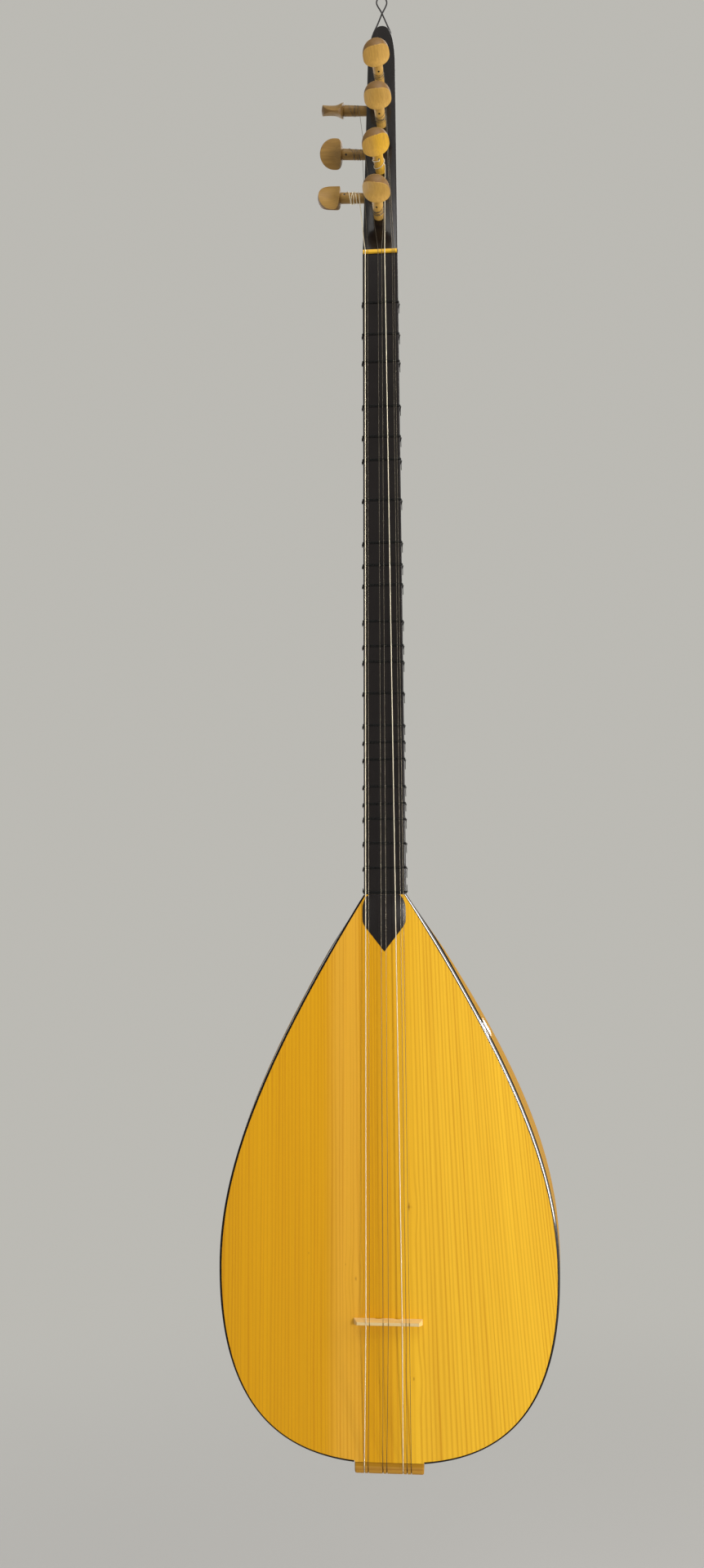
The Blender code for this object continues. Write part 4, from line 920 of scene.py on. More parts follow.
class BAGLAMA_OT_soundboard(bpy.types.Operator):
    """Spruce soundboard, the dark tongue below the neck and the two edge strips"""

    bl_idname = "baglama.soundboard"
    bl_label = "Soundboard and edge strips"

    # Lean in degrees and length of each step across an edge strip, from the spruce outwards
    STRIP_EDGE = (
        (0.0, 0.17), (10.0, 0.05), (22.0, 0.05), (34.0, 0.22), (35.5, 0.22), (37.0, 0.22), (38.5, 0.22),
        (40.0, 0.22), (52.0, 0.07), (64.0, 0.07), (76.0, 0.07), (86.0, 0.05),
    )

    def execute(self, context):
        self.make_board()
        self.make_tongue()
        self.make_strips()
        return {"FINISHED"}

    def make_board(self):
        size = sizes()
        half = board_half_outline(0.0)
        half[0] = (half[0][0], SEAT_GAP)
        front = [Vector((x, 0.0, -size.neck_length - along)) for x, along in half]
        front += [Vector((-x, 0.0, -size.neck_length - along)) for x, along in reversed(half[:-1])]
        bm = bmesh.new()
        skin(bm, [[NUT_LINE + point + Vector((0, y, 0)) for point in front] for y in (0.0, size.board_thick)])
        point_outwards(bm)
        new_piece("soundboard_top", bm, spruce_finish(), ROOT, ("soundboard",), 30.0)

    def make_tongue(self):
        """The pointed inlay: swelling sides, then a straight-sided point, a hair above the spruce."""
        size = sizes()
        joint, widest = Vector((0.0, 0.0125)), Vector((0.016, 0.0175))
        tip, shoulder = Vector((0.046, 0.0)), Vector((0.030, 0.0175 * 0.71))
        pull = 0.008
        swell = (joint, joint + Vector((pull * 0.7, pull * 0.6)), widest - Vector((pull, 0)), widest)
        lean = (tip - shoulder).normalized()
        round_in = (widest, widest + Vector((pull, 0)), shoulder - lean * pull, shoulder)
        half = [bezier(swell, i / 14) for i in range(15)] + [bezier(round_in, i / 12) for i in range(1, 13)]
        half[0] = Vector((SEAT_GAP, half[0][1]))
        right = [Vector((row[1], 0.0, -size.neck_length - row[0])) for row in half]
        outline = right + [Vector((0, 0, -size.neck_length - tip[0]))]
        outline += [Vector((-point.x, 0, point.z)) for point in reversed(right)]
        middle = Vector((0, 0, -size.neck_length - 0.016))
        aside = Vector((-0.0008, 0.0, 0.0))
        rings = []
        for y, grow in ((0.0015, 1.0), (-0.00006, 1.0), (-0.00014, 0.992)):
            rings.append([
                NUT_LINE + aside + middle + (point - middle) * grow + Vector((0, y, 0)) for point in outline
            ])
        bm = bmesh.new()
        skin(bm, rings)
        point_outwards(bm)
        new_piece("tongue_inlay", bm, lacquer_finish("tongue_lacquer", 0.20), ROOT, ("tongue",), 30.0)

    def make_strips(self):
        """The dark edge strips, rounded over where the face meets the side, as far as the tail block."""
        size = sizes()
        inner_curves, outer_curves = outline_curves(SEAT_GAP * 0.3), outline_curves(SEAT_GAP + size.binding)
        stop = 1.0
        while bezier(inner_curves[1], stop)[1] < size.tail_half + SEAT_GAP:
            stop -= 0.0005
        places = [(0, i / 64) for i in range(64)] + [(1, i / 64) for i in range(64) if i / 64 < stop - 0.004]
        places.append((1, stop))
        finish = lacquer_finish("edge_lacquer", 0.14, 0.12, True)
        for side, name in ((1, "right"), (-1, "left")):
            rings = []
            for curve, t in places:
                a, b = bezier(inner_curves[curve], t), bezier(outer_curves[curve], t)
                _, swell, centre, _ = bowl_side(min(b[0], size.board_length), 0.0)
                across, deep, profile = 0.0, 0.0, [(0.0, 0.0)]
                for lean, run in self.STRIP_EDGE:
                    across += run * math.cos(math.radians(lean))
                    deep += run * math.sin(math.radians(lean))
                    profile.append((across, deep))
                wide = (b - a).length / across
                section = []
                for at, down in profile:
                    spot = a.lerp(b, at / across)
                    section.append((spot[1], down * wide - 0.00008, spot[0]))
                for y in (0.0018, 0.0026, 0.0034, 0.0041, size.board_thick):
                    section.append((b[1], y, b[0]))
                for i, (x, y, along) in enumerate(section):
                    if y > 0.0:
                        section[i] = (x + swell * flank(y / centre), y, along)
                section.append((a[1], size.board_thick, a[0]))
                rings.append([
                    NUT_LINE + Vector((side * x, y, -size.neck_length - max(along, SEAT_GAP)))
                    for x, y, along in section
                ])
            bm = bmesh.new()
            skin(bm, rings)
            point_outwards(bm)
            new_piece(f"edge_strip_{name}", bm, finish, ROOT, (f"binding_{name}",), 40.0)


class BAGLAMA_OT_bowl(bpy.types.Operator):
    """Bowl of glued staves, with a round sound hole at its tail end, and what is inside it"""

    bl_idname = "baglama.bowl"
    bl_label = "Bowl"

    def execute(self, context):
        size = sizes()
        rim = size.board_thick + SEAT_GAP
        tail = size.board_length + size.binding + SEAT_GAP
        outside = self.half_shell(0.0, rim, SEAT_GAP, tail)
        inside = self.half_shell(-size.bowl_wall, rim, SEAT_GAP, tail - size.bowl_wall)
        steps = len(outside[0]) - 1
        bm = bmesh.new()
        layer = bm.loops.layers.uv.new("UVMap")
        outer_rows, outer_tip = self.lay(bm, layer, outside, tail, rim)
        inner_rows, inner_tip = self.lay(bm, layer, inside, tail - size.bowl_wall, rim)
        for low, high, other_low, other_high in zip(outer_rows, outer_rows[1:], inner_rows, inner_rows[1:]):
            for end in (0, -1):
                bm.faces.new((low[end], high[end], other_high[end], other_low[end]))
        for end in (0, -1):
            bm.faces.new((outer_rows[-1][end], outer_tip, inner_tip, inner_rows[-1][end]))
        for i in range(steps):
            bm.faces.new((outer_rows[0][i], outer_rows[0][i + 1], inner_rows[0][i + 1], inner_rows[0][i]))
        point_outwards(bm)
        piece = new_piece("bowl_shell", bm, bowl_finish(), ROOT, ("bowl",), 40.0)
        hole = NUT_LINE + Vector((0, 0.066, -size.neck_length - tail + 0.02))
        carve(piece, [round_tool(hole, (0, 0, 1), size.sound_hole, 0.08, 64)], 40.0)
        shade = colours()
        inner = wood_finish("inner_wood", shade.inner, (0.36, 0.22, 0.11), 0.7)
        for name in ("neck_block", "end_block", "soundboard_brace"):
            for place in frame["nodes"][name].material_slots:
                place.material = inner
        return {"FINISHED"}

    def half_shell(self, grow, rim, start, tail):
        widest = sizes().board_widest
        stations = [start + (widest - start) * i / 40 for i in range(40)]
        stations += [widest + (tail - widest) * math.sin(math.radians(90.0 * i / 42.4)) for i in range(42)]
        return [bowl_ring(along, grow, rim, 14, 56) for along in stations]

    def lay(self, bm, layer, rings, tail, rim):
        """Faces over half rings, mapped by the share of each ring's length and the way along the keel."""
        rows = [[bm.verts.new(point) for point in ring] for ring in rings]
        tip = bm.verts.new(NUT_LINE + Vector((0, rim, -sizes().neck_length - tail)))
        steps = len(rings[0]) - 1
        shares = []
        for ring in rings:
            run = [0.0]
            for one, two in zip(ring, ring[1:]):
                run.append(run[-1] + (two - one).length)
            shares.append([value / run[-1] for value in run])
        keel = [0.0]
        for low, high in zip(rings, rings[1:]):
            keel.append(keel[-1] + (high[steps // 2] - low[steps // 2]).length)
        last = keel[-1] + (tip.co - rings[-1][steps // 2]).length
        for k in range(len(rows) - 1):
            for i in range(steps):
                face = bm.faces.new((rows[k][i], rows[k][i + 1], rows[k + 1][i + 1], rows[k + 1][i]))
                for loop, (a, b) in zip(face.loops, ((i, k), (i + 1, k), (i + 1, k + 1), (i, k + 1))):
                    loop[layer].uv = (shares[b][a], keel[b])
        for i in range(steps):
            face = bm.faces.new((rows[-1][i], rows[-1][i + 1], tip))
            one, two = shares[-1][i], shares[-1][i + 1]
            for loop, spot in zip(face.loops, ((one, keel[-1]), (two, keel[-1]), ((one + two) / 2, last))):
                loop[layer].uv = spot
        return rows, tip


def fret_nodes(finish):
    """Geometry Nodes that lay a few turns of line side by side along a closed path round the neck."""
    tree = bpy.data.node_groups.new("tied_line", "GeometryNodeTree")
    face = tree.interface
    face.new_socket("Path", in_out="INPUT", socket_type="NodeSocketGeometry")
    face.new_socket("Turns", in_out="INPUT", socket_type="NodeSocketInt").default_value = 3
    face.new_socket("Line", in_out="INPUT", socket_type="NodeSocketFloat").default_value = 0.0006
    face.new_socket("Result", in_out="OUTPUT", socket_type="NodeSocketGeometry")
    nodes, links = tree.nodes, tree.links
    start, end = nodes.new("NodeGroupInput"), nodes.new("NodeGroupOutput")
    row = nodes.new("GeometryNodeMeshLine")
    row.mode = "OFFSET"
    step = nodes.new("ShaderNodeCombineXYZ")
    wide = nodes.new("ShaderNodeMath")
    wide.operation = "MULTIPLY"
    wide.inputs[1].default_value = 0.98
    back = nodes.new("ShaderNodeMath")
    back.operation = "MULTIPLY_ADD"
    back.inputs[1].default_value = -0.5
    back.inputs[2].default_value = 0.5
    first = nodes.new("ShaderNodeMath")
    first.operation = "MULTIPLY"
    origin = nodes.new("ShaderNodeCombineXYZ")
    copies = nodes.new("GeometryNodeInstanceOnPoints")
    real = nodes.new("GeometryNodeRealizeInstances")
    ring = nodes.new("GeometryNodeCurvePrimitiveCircle")
    ring.inputs["Resolution"].default_value = 8
    thin = nodes.new("ShaderNodeMath")
    thin.operation = "MULTIPLY"
    thin.inputs[1].default_value = 0.5
    body = nodes.new("GeometryNodeCurveToMesh")
    finished = nodes.new("GeometryNodeSetMaterial")
    finished.inputs["Material"].default_value = finish
    smooth = nodes.new("GeometryNodeSetShadeSmooth")
    again = nodes.new("GeometryNodeRealizeInstances")
    links.new(start.outputs["Turns"], row.inputs["Count"])
    links.new(start.outputs["Line"], wide.inputs[0])
    links.new(wide.outputs[0], step.inputs[2])
    links.new(step.outputs[0], row.inputs["Offset"])
    links.new(start.outputs["Turns"], back.inputs[0])
    links.new(back.outputs[0], first.inputs[0])
    links.new(wide.outputs[0], first.inputs[1])
    links.new(first.outputs[0], origin.inputs[2])
    links.new(origin.outputs[0], row.inputs["Start Location"])
    links.new(row.outputs[0], copies.inputs["Points"])
    links.new(start.outputs["Path"], copies.inputs["Instance"])
    links.new(copies.outputs[0], real.inputs[0])
    links.new(start.outputs["Line"], thin.inputs[0])
    links.new(thin.outputs[0], ring.inputs["Radius"])
    links.new(real.outputs[0], body.inputs["Curve"])
    links.new(ring.outputs[0], body.inputs["Profile Curve"])
    links.new(body.outputs[0], smooth.inputs[0])
    links.new(smooth.outputs[0], again.inputs[0])
    links.new(again.outputs[0], finished.inputs[0])
    links.new(finished.outputs[0], end.inputs[0])
    return tree


def set_inputs(modifier, tree, **values):
    """Sets a node group's inputs by the sockets' own identifiers."""
    for item in tree.interface.items_tree:
        if item.item_type == "SOCKET" and item.in_out == "INPUT" and item.name in values:
            modifier[item.identifier] = values[item.name]


def grown_ring(points, distance):
    made = []
    count = len(points)
    for i in range(count):
        before, here, after = Vector(points[i - 1]), Vector(points[i]), Vector(points[(i + 1) % count])
        one, two = (here - before), (after - here)
        one = one.normalized() if one.length > 0 else two.normalized()
        two = two.normalized() if two.length > 0 else one
        normal = (Vector((one.y, -one.x)) + Vector((two.y, -two.x))).normalized()
        made.append(here + normal * distance)
    return made


class BAGLAMA_OT_frets(bpy.types.Operator):
    """Bands of nylon line tied round the neck, each with its knot and cut ends"""

    bl_idname = "baglama.frets"
    bl_label = "Tied frets"

    def execute(self, context):
        finish = nylon_finish()
        tree = fret_nodes(finish)
        chance = random.Random(5)
        names = sorted(item for item in frame["nodes"] if item.startswith("fret_"))
        places = [(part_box(name)[0].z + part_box(name)[1].z) / 2 - NUT_Z for name in names]
        below = places[1:] + [None]
        for name, z, following in zip(names, places, below):
            room = 0.0 if following is None else z - following - self.slide(name) - 0.0022
            self.make_fret(name, z, room, tree, finish, chance)
        return {"FINISHED"}

    def slide(self, name):
        return RECORD_JOINTS[name]["range_m"][1]

    def make_fret(self, name, z, room, tree, finish, chance):
        """Three turns of line that clear the neck wherever the fret slides, with a knot and a loose end."""
        size = sizes()
        line = size.fret_line
        half, depth = neck_size(z - self.slide(name))
        section = neck_section(half, depth, 0.0, 30)
        path = [(point[0], point[1]) for point in grown_ring(section, line * 0.5 + 0.00012)]
        slant = chance.uniform(-0.00035, 0.00035)
        curve = bpy.data.curves.new(name + "_path", "CURVE")
        curve.dimensions = "3D"
        spline = curve.splines.new("POLY")
        spline.points.add(len(path) - 1)
        for target, (x, y) in zip(spline.points, path):
            place = NUT_LINE + Vector((x, y, z + slant * x / half))
            target.co = (*place, 1.0)
        spline.use_cyclic_u = True
        drawn = bpy.data.objects.new(name + "_path", curve)
        bpy.context.scene.collection.objects.link(drawn)
        laid = drawn.modifiers.new("turns", "NODES")
        laid.node_group = tree
        set_inputs(laid, tree, Turns=3, Line=line)
        bpy.context.view_layer.update()
        held = drawn.evaluated_get(bpy.context.evaluated_depsgraph_get())
        bm = bmesh.new()
        bm.from_mesh(bpy.data.meshes.new_from_object(held))
        bpy.data.objects.remove(drawn)
        self.add_knot(bm, z, half, line, -1 if room else 1, chance)
        self.add_end(bm, z, half, line, min(0.0080, room) if room else -0.0060, chance)
        point_outwards(bm)
        return new_piece(name + "_line", bm, finish, name, (name,), 60.0)

    def add_knot(self, bm, z, half, line, way, chance):
        """A small double knot against the neck's left side, just past the turns, with a cut end."""
        seat = Vector((-half - line * 0.95, chance.uniform(0.0018, 0.0030), z + way * line * chance.uniform(1.6, 2.2)))
        for tilt in (-0.5, 0.6):
            knot = []
            for i in range(14):
                angle = 2 * math.pi * i / 14
                knot.append(NUT_LINE + seat + Vector((
                    -line * 0.40 * math.sin(2 * angle),
                    line * (1.1 * math.sin(angle) + 0.5 * tilt * math.cos(angle)),
                    line * 1.5 * math.cos(angle) + tilt * line * 0.6,
                )))
            tube(bm, knot, line * 0.5, 8, closed=True)
        reach = chance.uniform(0.0010, 0.0017)
        lean = Vector((-0.10, chance.uniform(0.1, 0.4), way * 0.9)).normalized()
        start = seat + Vector((0, 0, way * line))
        tube(bm, [NUT_LINE + start + lean * reach * t for t in (0.0, 0.4, 0.75, 1.0)], line * 0.46, 8)

    def add_end(self, bm, z, half, line, reach, chance):
        """The line's loose end, lying along the neck's right side."""
        depth = chance.uniform(0.0022, 0.0040)
        curl = chance.uniform(0.0, 0.00015)
        points = []
        for i in range(9):
            t = i / 8
            out = half + line * 0.55 + 0.00016 + abs(reach) * 0.004 + line * 0.9 * math.exp(-((t * 5.0) ** 2)) + curl * t * t
            points.append(NUT_LINE + Vector((out, depth + 0.0012 * t * t, z - reach * t)))
        tube(bm, points, line * 0.46, 8)


KNOB_WIDEST = 0.0069
KNOB_SHOULDER = 3.6
KNOB_FLARE = 0.00275
KNOB_FLARE_REACH = 0.0043
KNOB_CROWN = 0.00045
KNOB_CROWN_START = 0.0088
KNOB_RIM_SHARE = 0.12
KNOB_FACE_STEPS = 24
KNOB_RIM_STEPS = 10


def peg_seat(name):
    """Where a peg leaves the head with Z outwards, unturned, its length in the wood, and its turn."""
    _, row, along, across, lean, turn, _ = next(peg for peg in PEGS if peg[0] == name)
    half, depth = head_size(along)
    lean = math.radians(lean)
    if row == "front":
        foot = head_point(across, 0.0, along)
        leaning = Matrix.Rotation(-lean, 4, "Z") @ Matrix.Rotation(math.pi / 2, 4, "X")
        through = depth / math.cos(lean)
    else:
        foot = head_point(-half, -0.0085, along)
        leaning = Matrix.Rotation(lean - math.pi / 2, 4, "Y")
        through = 2 * half / math.cos(lean)
    return Matrix.Translation(foot) @ Matrix.Rotation(-HEAD_CANT, 4, "X") @ leaning, through, math.radians(turn)


def shaft_radius(out):
    """Radius of a peg's shaft at a distance outside the wood, less than nothing inside it."""
    size = sizes()
    if out > 0:
        return size.peg_face + (size.peg_head - size.peg_face) * min(out / size.peg_shaft, 1.0)
    return size.peg_face + 0.030 * out


def knob_radius(out, row):
    """Half width of the knob across its carved faces at a distance from its collar."""
    radius, square = KNOBS[row]
    if out > KNOB_WIDEST:
        past = (out - KNOB_WIDEST) / (sizes().peg_knob_length - KNOB_WIDEST)
        return radius * max(1.0 - past**square, 0.0) ** (1.0 / square)
    short = (KNOB_WIDEST - out) / (KNOB_WIDEST * 1.025)
    return radius * (1.0 - short**KNOB_SHOULDER) ** (1.0 / KNOB_SHOULDER)


def knob_face(out, across, row):
    """Half thickness between the carved faces: a flare at the collar, and thin towards the rim."""
    size = sizes()
    flare = KNOB_FLARE * math.exp(-((out / KNOB_FLARE_REACH) ** 1.6))
    crown = KNOB_CROWN * (max(out - KNOB_CROWN_START, 0.0) / (size.peg_knob_length - KNOB_CROWN_START)) ** 2
    lens = max(1.0 - (across / KNOBS[row][0]) ** 2, 0.0) ** 0.9
    return (size.peg_waist + flare + crown) * (KNOB_RIM_SHARE + (1.0 - KNOB_RIM_SHARE) * lens)


def knob_places(row):
    """Distances from the collar for the knob's rings, closer together where its hollows run out."""
    radius, square = KNOBS[row]
    reach = sizes().peg_knob_length - KNOB_WIDEST
    places = [KNOB_WIDEST * (1.0 - math.cos(math.pi / 2 * i / 18)) for i in range(18)]
    places += [KNOB_WIDEST + reach * math.sin(math.radians(3.0 * i)) ** (2.0 / square) for i in range(30)]
    for across in (0.0003, 0.0008, 0.0014, 0.0021, 0.0029, 0.0038):
        out = sizes().peg_knob_length
        for _ in range(20):
            turned = math.hypot(across, knob_face(out, across, row))
            out = KNOB_WIDEST + reach * max(1.0 - (turned / radius) ** square, 0.0) ** (1.0 / square)
        places.append(out)
    places.sort()
    return [place for i, place in enumerate(places) if i == 0 or place - places[i - 1] > 0.00002]


def knob_ring(out, row):
    """One section of the knob, and for each point whether the turned rim still shows there."""
    radius = knob_radius(out, row)
    low, high = 0.0, radius
    for _ in range(30):
        middle = (low + high) / 2
        if middle**2 + knob_face(out, middle, row) ** 2 < radius**2:
            low = middle
        else:
            high = middle
    corner = max(low, radius * 0.25)
    points, turned_rim = [], []
    for i in range(KNOB_FACE_STEPS + 1):
        across = corner * math.sin(math.pi / 2 * (2.0 * i / KNOB_FACE_STEPS - 1.0))
        turned = math.sqrt(max(radius**2 - across**2, 0.0))
        face = knob_face(out, across, row)
        points.append((across, min(face, turned)))
        turned_rim.append(1.0 if face > turned + 0.00001 else 0.0)
    edge = math.atan2(points[-1][1], corner)
    for i in range(1, KNOB_RIM_STEPS + 1):
        angle = edge * (1.0 - 2.0 * i / (KNOB_RIM_STEPS + 1))
        points.append((radius * math.cos(angle), radius * math.sin(angle)))
        turned_rim.append(1.0)
    points += [(-x, -y) for x, y in points]
    return [Vector((x, y, sizes().peg_shaft + out)) for x, y in points], turned_rim * 2


class BAGLAMA_OT_pegs(bpy.types.Operator):
    """Turned pegs with a grooved collar and a knob hollowed on both sides, each string's hole painted as a dark spot
    of painted shade
    """

    bl_idname = "baglama.pegs"
    bl_label = "Pegs"

    def execute(self, context):
        finish = peg_finish()
        for name, row, *_ in PEGS:
            self.make_peg(name, row, finish)
        return {"FINISHED"}

    def shaft_rings(self, through):
        """Round rings from the peg's thin inner end to the groove at its collar."""
        size = sizes()
        inner = -(through - 0.0006)
        rows = [(shaft_radius(inner) - 0.0004, inner), (shaft_radius(inner), inner + 0.0004)]
        rows += [(shaft_radius(inner * (1 - i / 5)), inner * (1 - i / 5)) for i in range(1, 6)]
        collar = size.peg_shaft - 0.0008
        rows += [(shaft_radius(collar * i / 12), collar * i / 12) for i in range(1, 12)]
        rows += [
            (size.peg_head, collar - 0.0003), (size.peg_head - 0.00005, collar - 0.0001), (0.00445, collar + 0.0001),
            (0.0042, collar + 0.0003), (0.0042, collar + 0.0005), (0.0044, collar + 0.0007),
        ]
        count = 2 * (KNOB_FACE_STEPS + KNOB_RIM_STEPS + 1)
        angles = [math.radians(135.0) - 2.0 * math.pi * i / count for i in range(count)]
        return [[Vector((radius * math.cos(a), radius * math.sin(a), out)) for a in angles] for radius, out in rows]

    def make_peg(self, name, row, finish):
        size = sizes()
        seat, through, turn = peg_seat(name)
        rings = self.shaft_rings(through)
        rims = [[0.0] * len(rings[0]) for _ in rings]
        for place in knob_places(row):
            ring, turned_rim = knob_ring(place, row)
            rings.append(ring)
            rims.append(turned_rim)
        bm = bmesh.new()
        marks = {label: bm.verts.layers.float.new(label) for label in ("rim", "own", "hole_at", "aged", "golden")}
        seated = bm.verts.layers.float_vector.new("seat")
        rows = skin(bm, rings, tip=(0.0, 0.0, size.peg_shaft + size.peg_knob_length))
        for verts, rim in zip(rows, rims):
            for vert, value in zip(verts, rim):
                vert[marks["rim"]] = value
        for vert in bm.verts:
            vert[seated] = vert.co.copy()
            vert[marks["own"]] = hash_share(name)
            vert[marks["hole_at"]] = COILS[name][2]
            # Painted shade: how far this peg is painted darker
            vert[marks["aged"]] = SIDE_PEG_SHADE.get(name, 0.0)
            vert[marks["golden"]] = 1.0 if name == "peg_front_3" else 0.0
            if vert.co.z > size.peg_shaft + size.peg_knob_length - 0.00005:
                vert[marks["rim"]] = 1.0
        bmesh.ops.transform(bm, matrix=seat @ Matrix.Rotation(turn, 4, "Z"), verts=bm.verts)
        point_outwards(bm)
        new_piece(name + "_turned", bm, finish, name, (name,), 28.0)


def hash_share(name):
    """A fixed number from 0 to 1 for a name."""
    return (sum((i + 3) * ord(letter) for i, letter in enumerate(name)) * 0.6180339) % 1.0


class BAGLAMA_OT_strings(bpy.types.Operator):
    """Seven strings from the pegs over the nut and bridge to the tail, with their turns on the pegs"""

    bl_idname = "baglama.strings"
    bl_label = "Strings"

    def execute(self, context):
        shade = colours()
        plain = steel_finish("plain_steel", tuple(shade.steel), False)
        wound_steel = steel_finish("wound_steel", tuple(shade.wound), True)
        for name, wound, at_nut, at_bridge, at_tail, peg in STRINGS:
            finish = wound_steel if wound else plain
            self.make_string(name, wound, at_nut, at_bridge, at_tail, peg, finish)
            self.make_turns(peg, wound, finish)
        return {"FINISHED"}

    def head_part(self, peg, x_nut, clear):
        """From where the string leaves its peg down to the nut."""
        _, row, along, _, _, _, leaves = next(item for item in PEGS if item[0] == peg)
        seat = peg_seat(peg)[0]
        beside = shaft_radius(leaves) + clear
        if row == "front":
            return [seat @ Vector((beside, 0.0, leaves))]
        end = seat @ Vector((0.0, -beside, leaves))
        edge_x = -head_size(along * 0.5)[0] + 0.00018
        share = min(max((edge_x - x_nut) / (end.x - x_nut), 0.05), 0.95)
        return [end, head_point(edge_x, clear + 0.0001, along * share)]

    def tail_part(self, x, clear):
        end = -(sizes().neck_length + sizes().board_length) - SEAT_GAP - 0.0088
        round_off, depth, ramp, back = 0.0035, 0.0010, 0.0030, 0.026
        sunk = depth - clear
        points = [(x, -clear, end + round_off + ramp + clear)]
        for i in range(13):
            angle = math.pi / 2 * i / 12
            reach = round_off - sunk
            points.append((x, round_off - reach * math.cos(angle), end + round_off - reach * math.sin(angle)))
        floor = end + 0.0026 - clear
        points.append((x, back - 0.006, end + sunk))
        points.append((x, back - 0.003, floor))
        points.append((x, back + clear * 0.5, floor))
        points.append((x, back + clear + 0.0003, floor + 0.0013))
        return [NUT_LINE + Vector(point) for point in points]

    def make_string(self, name, wound, at_nut, at_bridge, at_tail, peg, finish):
        size = sizes()
        width = size.wound_string if wound else size.plain_string
        clear = width / 2 + 0.0001
        x_nut = at_nut * (size.neck_half_nut - 0.0005)
        route = self.head_part(peg, x_nut, clear)
        for point in ((x_nut, -0.0019, 0.0029), (x_nut, -0.0019, 0.0003), (at_bridge * 0.0267, -0.0071, -size.string_length)):
            route.append(NUT_LINE + Vector(point))
        route += self.tail_part(at_tail * 0.0265, clear)
        bm = bmesh.new()
        tube(bm, self.dense(route), width / 2, 10)
        new_piece(name + "_wire", bm, finish, ROOT, (name,), 60.0)

    def dense(self, route):
        """The same straight runs with more rings, and a short bend at each corner."""
        made = [route[0]]
        for before, here, after in zip(route, route[1:], route[2:]):
            ease = min(0.0006, (here - before).length * 0.3, (after - here).length * 0.3)
            a = here + (before - here).normalized() * ease
            b = here + (after - here).normalized() * ease
            made += [a, (a + b + here * 2) / 4, b]
        return made + [route[-1]]

    def make_turns(self, peg, wound, finish):
        """The turns on a peg's shaft, which end in a long reach to the peg's hole and go down into it."""
        size = sizes()
        _, row, _, _, _, _, leaves = next(item for item in PEGS if item[0] == peg)
        seat, _, turn = peg_seat(peg)
        seat = seat @ Matrix.Rotation(turn, 4, "Z")
        width = size.wound_string if wound else size.plain_string
        turns, pitch, hole = COILS[peg]
        start = (0.0 if row == "front" else -math.pi / 2) - turn
        sweep = 2.0 * math.pi * turns
        ended = round((start + sweep - math.pi / 2) / math.pi) * math.pi + math.pi / 2
        sweep = ended - start
        first = leaves + width + 0.0001
        coiled = first + pitch * turns
        steps = round(sweep / (2.0 * math.pi) * 40)
        points = []
        for i in range(steps + 1):
            t = i / steps
            angle = start + sweep * t
            lean = angle + 1.9 * math.sin(angle * 0.31 + 5 * hash_share(peg))
            out = first + (coiled - first) * t + pitch * 0.42 * math.sin(lean) * min(t * 4, 1)
            last = max(0.0, 1.0 - (1.0 - t) * sweep / (1.1 * math.pi))
            out += (hole - coiled) * last * last * (3.0 - 2.0 * last)
            points.append((angle, shaft_radius(out) + width / 2 + 0.00010, out))
        angle, radius, out = points[-1]
        for sink in (0.0004, 0.0010, 0.0018):
            points.append((angle, radius - sink, hole))
        bm = bmesh.new()
        tube(bm, [seat @ Vector((r * math.cos(a), r * math.sin(a), out)) for a, r, out in points], width / 2, 8)
        point_outwards(bm)
        name = peg.replace("peg", "winding")
        new_piece(name + "_coil", bm, finish, peg, (name,), 60.0)


class BAGLAMA_OT_bridge(bpy.types.Operator):
    """Pale low bridge with string notches and small arches under it"""

    bl_idname = "baglama.bridge"
    bl_label = "Bridge"

    def execute(self, context):
        size = sizes()
        shade = colours()
        half, top, lift, slant = size.bridge_half, size.bridge_top, 0.0001, size.bridge_slant
        bm = bmesh.new()
        rings = []
        steps = 80
        for i in range(steps + 1):
            share = -1.0 + 2.0 * i / steps
            under = lift
            for centre in (-0.0075, 0.0075):
                off = abs(share * half - centre)
                if off < 0.0033:
                    under = lift + max(math.sqrt(0.0046**2 - off**2) - 0.0032, 0.0)
            rings.append([
                NUT_LINE + Vector((share * (half - slant * max(-y / top - 0.12, 0.0)), y, z - size.string_length))
                for y, z in (
                    (-under, -0.00225), (-under, 0.00225), (-0.0036, 0.0017), (-top + 0.0005, 0.00118),
                    (-top + 0.00015, 0.00104), (-top, 0.0008), (-top, -0.0008), (-top + 0.00015, -0.00104),
                    (-top + 0.0005, -0.00118), (-0.0036, -0.0017),
                )
            ])
        skin(bm, rings)
        point_outwards(bm)
        # Painted shade: the band gives the bridge's front crown a greyer tone for the lesser light it gets from above
        finish = wood_finish("bridge_maple", shade.bridge, (0.60, 0.38, 0.13), 0.50, 0, 0.0018, 0.55,
                             band=(1, FACE_Y - top + 0.0006, FACE_Y - top + 0.0003, (0.60, 0.47, 0.24)))
        piece = new_piece("bridge_rest", bm, finish, "bridge", ("bridge",), 30.0)
        tools = []
        for name, wound, _, at_bridge, _, _ in STRINGS:
            radius = (size.wound_string if wound else size.plain_string) / 2 + 0.0003
            place = NUT_LINE + Vector((at_bridge * half, -0.0071, -size.string_length))
            tools.append(round_tool(place, (0, 0, 1), radius, 0.02, 16))
        carve(piece, tools, 30.0)
        return {"FINISHED"}


